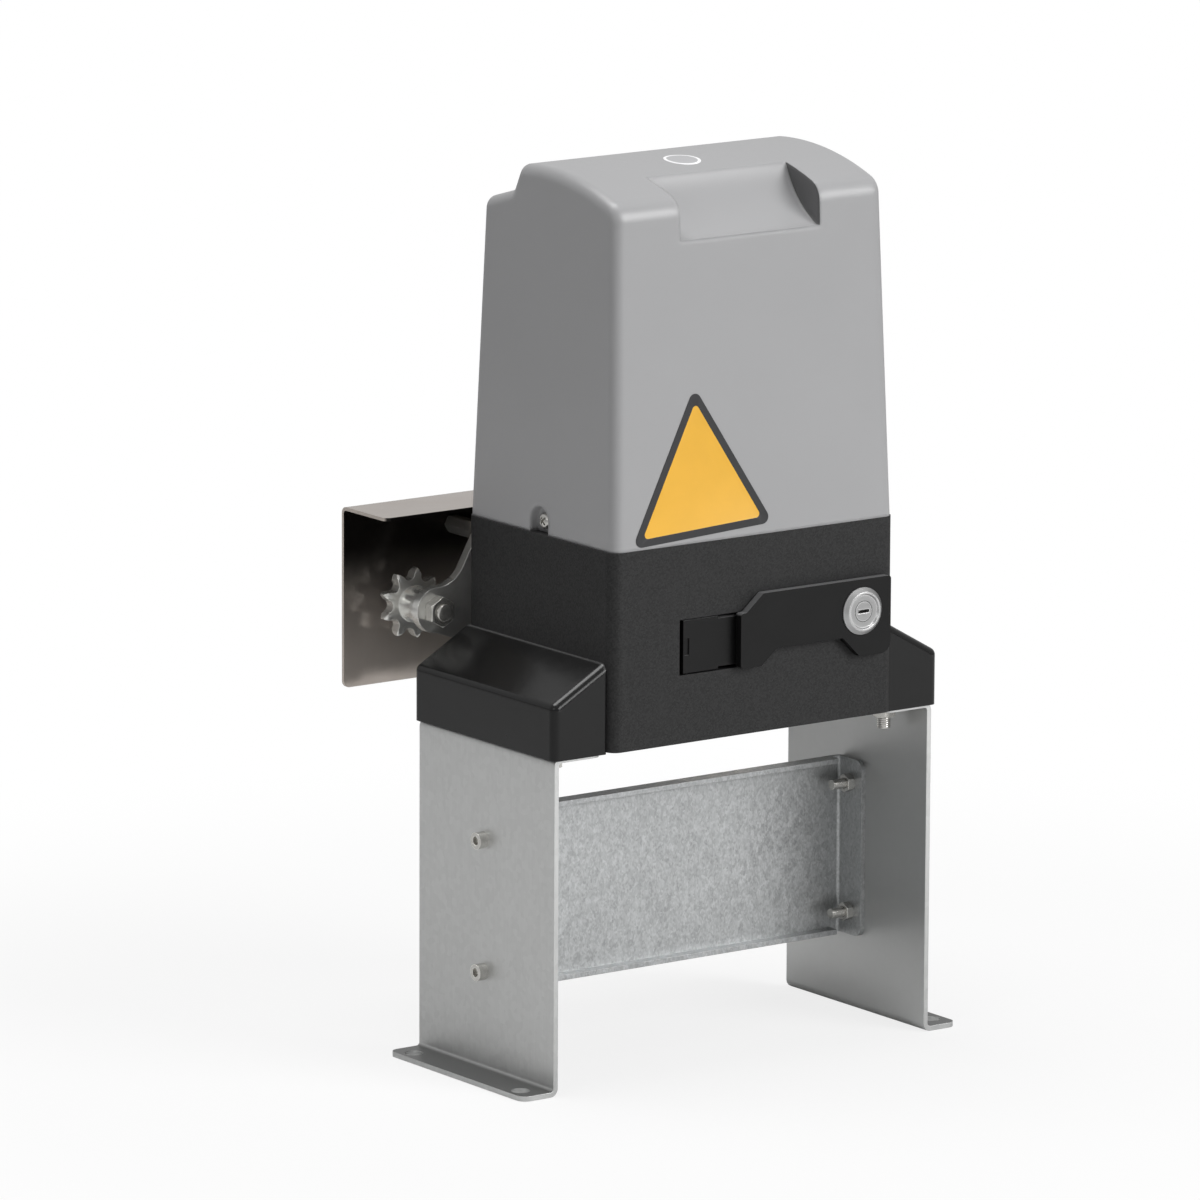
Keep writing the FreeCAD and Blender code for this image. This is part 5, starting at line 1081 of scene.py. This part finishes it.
class GATEMOTOR_OT_stage(bpy.types.Operator):
    """Build the floor, the lamps, the surrounding light and the camera"""

    bl_idname = "gatemotor.stage"
    bl_label = "Stage"

    def execute(self, context):
        settings = context.scene.gate_motor_stage
        self.floor()
        self.world(context, settings)
        self.lamps(settings)
        self.camera(context, settings)
        context.scene.view_settings.view_transform = "Standard"
        return {"FINISHED"}

    def floor(self):
        """A pale round floor that stays white far from the motor and keeps its shadow near it."""
        reaches = (0.01, 0.5, 2.0, 10.0, 60.0)
        circles = [ring_of(Vector(), X_AXIS, Y_AXIS, reach, 96) for reach in reaches]
        shape = bmesh.new()
        shape.faces.new(skin(shape, circles)[0])
        mesh = bpy.data.meshes.new("floor")
        shape.to_mesh(mesh)
        shape.free()
        floor = placed("floor", mesh)
        clearance = 0.2 * MM
        floor.location.z = -clearance
        made = Finish("pale_floor")
        grain = made.noise(4.0, 3.0)
        made.set(Base_Color=made.mix(grain, (0.83, 0.83, 0.83), (0.86, 0.86, 0.86)), Roughness=0.9)
        made.set(Specular_IOR_Level=0.2)
        far = made.length(made.point((1.0, 1.0, 0.0))).stepped(0.3, 0.8)
        share = made.ray("Is Camera Ray") * (far * 0.2 + 0.8)
        white = made.node("ShaderNodeEmission", {}, {"Color": WHITE, "Strength": 1.0})
        shader = Value(made, made.shader.outputs[0])
        mixed = made.node("ShaderNodeMixShader", {}, {0: share, 1: shader, 2: white})
        made.feed(made.output.inputs["Surface"], mixed)
        floor.data.materials.append(made.material)

    def world(self, context, settings):
        """White to the camera, a greyer room in reflections and a soft even light on everything."""
        world = bpy.data.worlds.new("studio")
        world.use_nodes = True
        graph = Graph(world.node_tree)
        graph.tree.nodes.clear()
        white = graph.ray("Is Camera Ray").larger(graph.ray("Is Transmission Ray"))
        mirrored = graph.ray("Is Glossy Ray") * settings.reflection
        strength = white.larger(mirrored).larger(settings.ambient)
        background = graph.node("ShaderNodeBackground", {}, {"Color": WHITE, "Strength": strength})
        output = graph.tree.nodes.new("ShaderNodeOutputWorld")
        graph.feed(output.inputs["Surface"], background)
        context.scene.world = world

    def lamps(self, settings):
        """Place, width in metres and power of each lamp, all aimed at the middle of the motor."""
        aim = Z_AXIS * middle(cad_box).z
        self.lamp("key_lamp", Vector((1.3, -2.5, 1.5)), aim, 1.8, settings.key_power)
        self.lamp("top_lamp", Vector((-0.3, 0.3, 2.6)), aim, 1.6, settings.top_power)
        self.lamp("side_lamp", Vector((-2.0, -0.9, 1.1)), aim, 0.8, settings.side_power)

    def lamp(self, name, place, aim, width, power):
        data = bpy.data.lights.new(name, "AREA")
        data.shape = "DISK"
        data.size = width
        data.energy = power
        lamp = placed(name, data)
        lamp.location = place
        lamp.rotation_mode = "QUATERNION"
        lamp.rotation_quaternion = (aim - place).to_track_quat("-Z", "Y")

    def camera(self, context, settings):
        back = Vector((
            math.sin(settings.azimuth) * math.cos(settings.elevation),
            -math.cos(settings.azimuth) * math.cos(settings.elevation),
            math.sin(settings.elevation),
        ))
        data = bpy.data.cameras.new("camera")
        data.lens = settings.lens
        data.sensor_width = 36.0
        data.shift_x = settings.shift_x
        data.shift_y = settings.shift_y
        data.clip_end = 200.0
        camera = placed("camera", data)
        camera.location = Z_AXIS * settings.aim + back * settings.distance
        camera.rotation_mode = "QUATERNION"
        level = (-back).to_track_quat("-Z", "Y")
        camera.rotation_quaternion = level @ Matrix.Rotation(settings.roll, 3, "Z").to_quaternion()
        context.scene.camera = camera


OPERATORS = (
    GATEMOTOR_OT_finishes,
    GATEMOTOR_OT_cover_screws,
    GATEMOTOR_OT_threads,
    GATEMOTOR_OT_nuts,
    GATEMOTOR_OT_sprockets,
    GATEMOTOR_OT_idler_bolts,
    GATEMOTOR_OT_warning_plate,
    GATEMOTOR_OT_crown_disc,
    GATEMOTOR_OT_stage,
)


class GATEMOTOR_PT_panel(bpy.types.Panel):
    """Sizes, colours and steps of the gate motor"""

    bl_idname = "GATEMOTOR_PT_panel"
    bl_label = "Gate motor"
    bl_space_type = "VIEW_3D"
    bl_region_type = "UI"
    bl_category = "Gate motor"

    def draw(self, context):
        for name, group in COLLECTIONS.items():
            settings = getattr(context.scene, name)
            box = self.layout.box()
            for entry in group.__annotations__:
                box.prop(settings, entry)
        for operator in OPERATORS:
            self.layout.operator(operator.bl_idname)


CLASSES = (*COLLECTIONS.values(), *OPERATORS, GATEMOTOR_PT_panel)


def register():
    for entry in CLASSES:
        bpy.utils.register_class(entry)
    for name, group in COLLECTIONS.items():
        setattr(bpy.types.Scene, name, PointerProperty(type=group))


def unregister():
    for name in COLLECTIONS:
        delattr(bpy.types.Scene, name)
    for entry in reversed(CLASSES):
        bpy.utils.unregister_class(entry)


def main():
    register()
    for operator in OPERATORS:
        step = operator.bl_idname.split(".")[1]
        getattr(bpy.ops.gatemotor, step)()


if __name__ == "__main__":
    main()
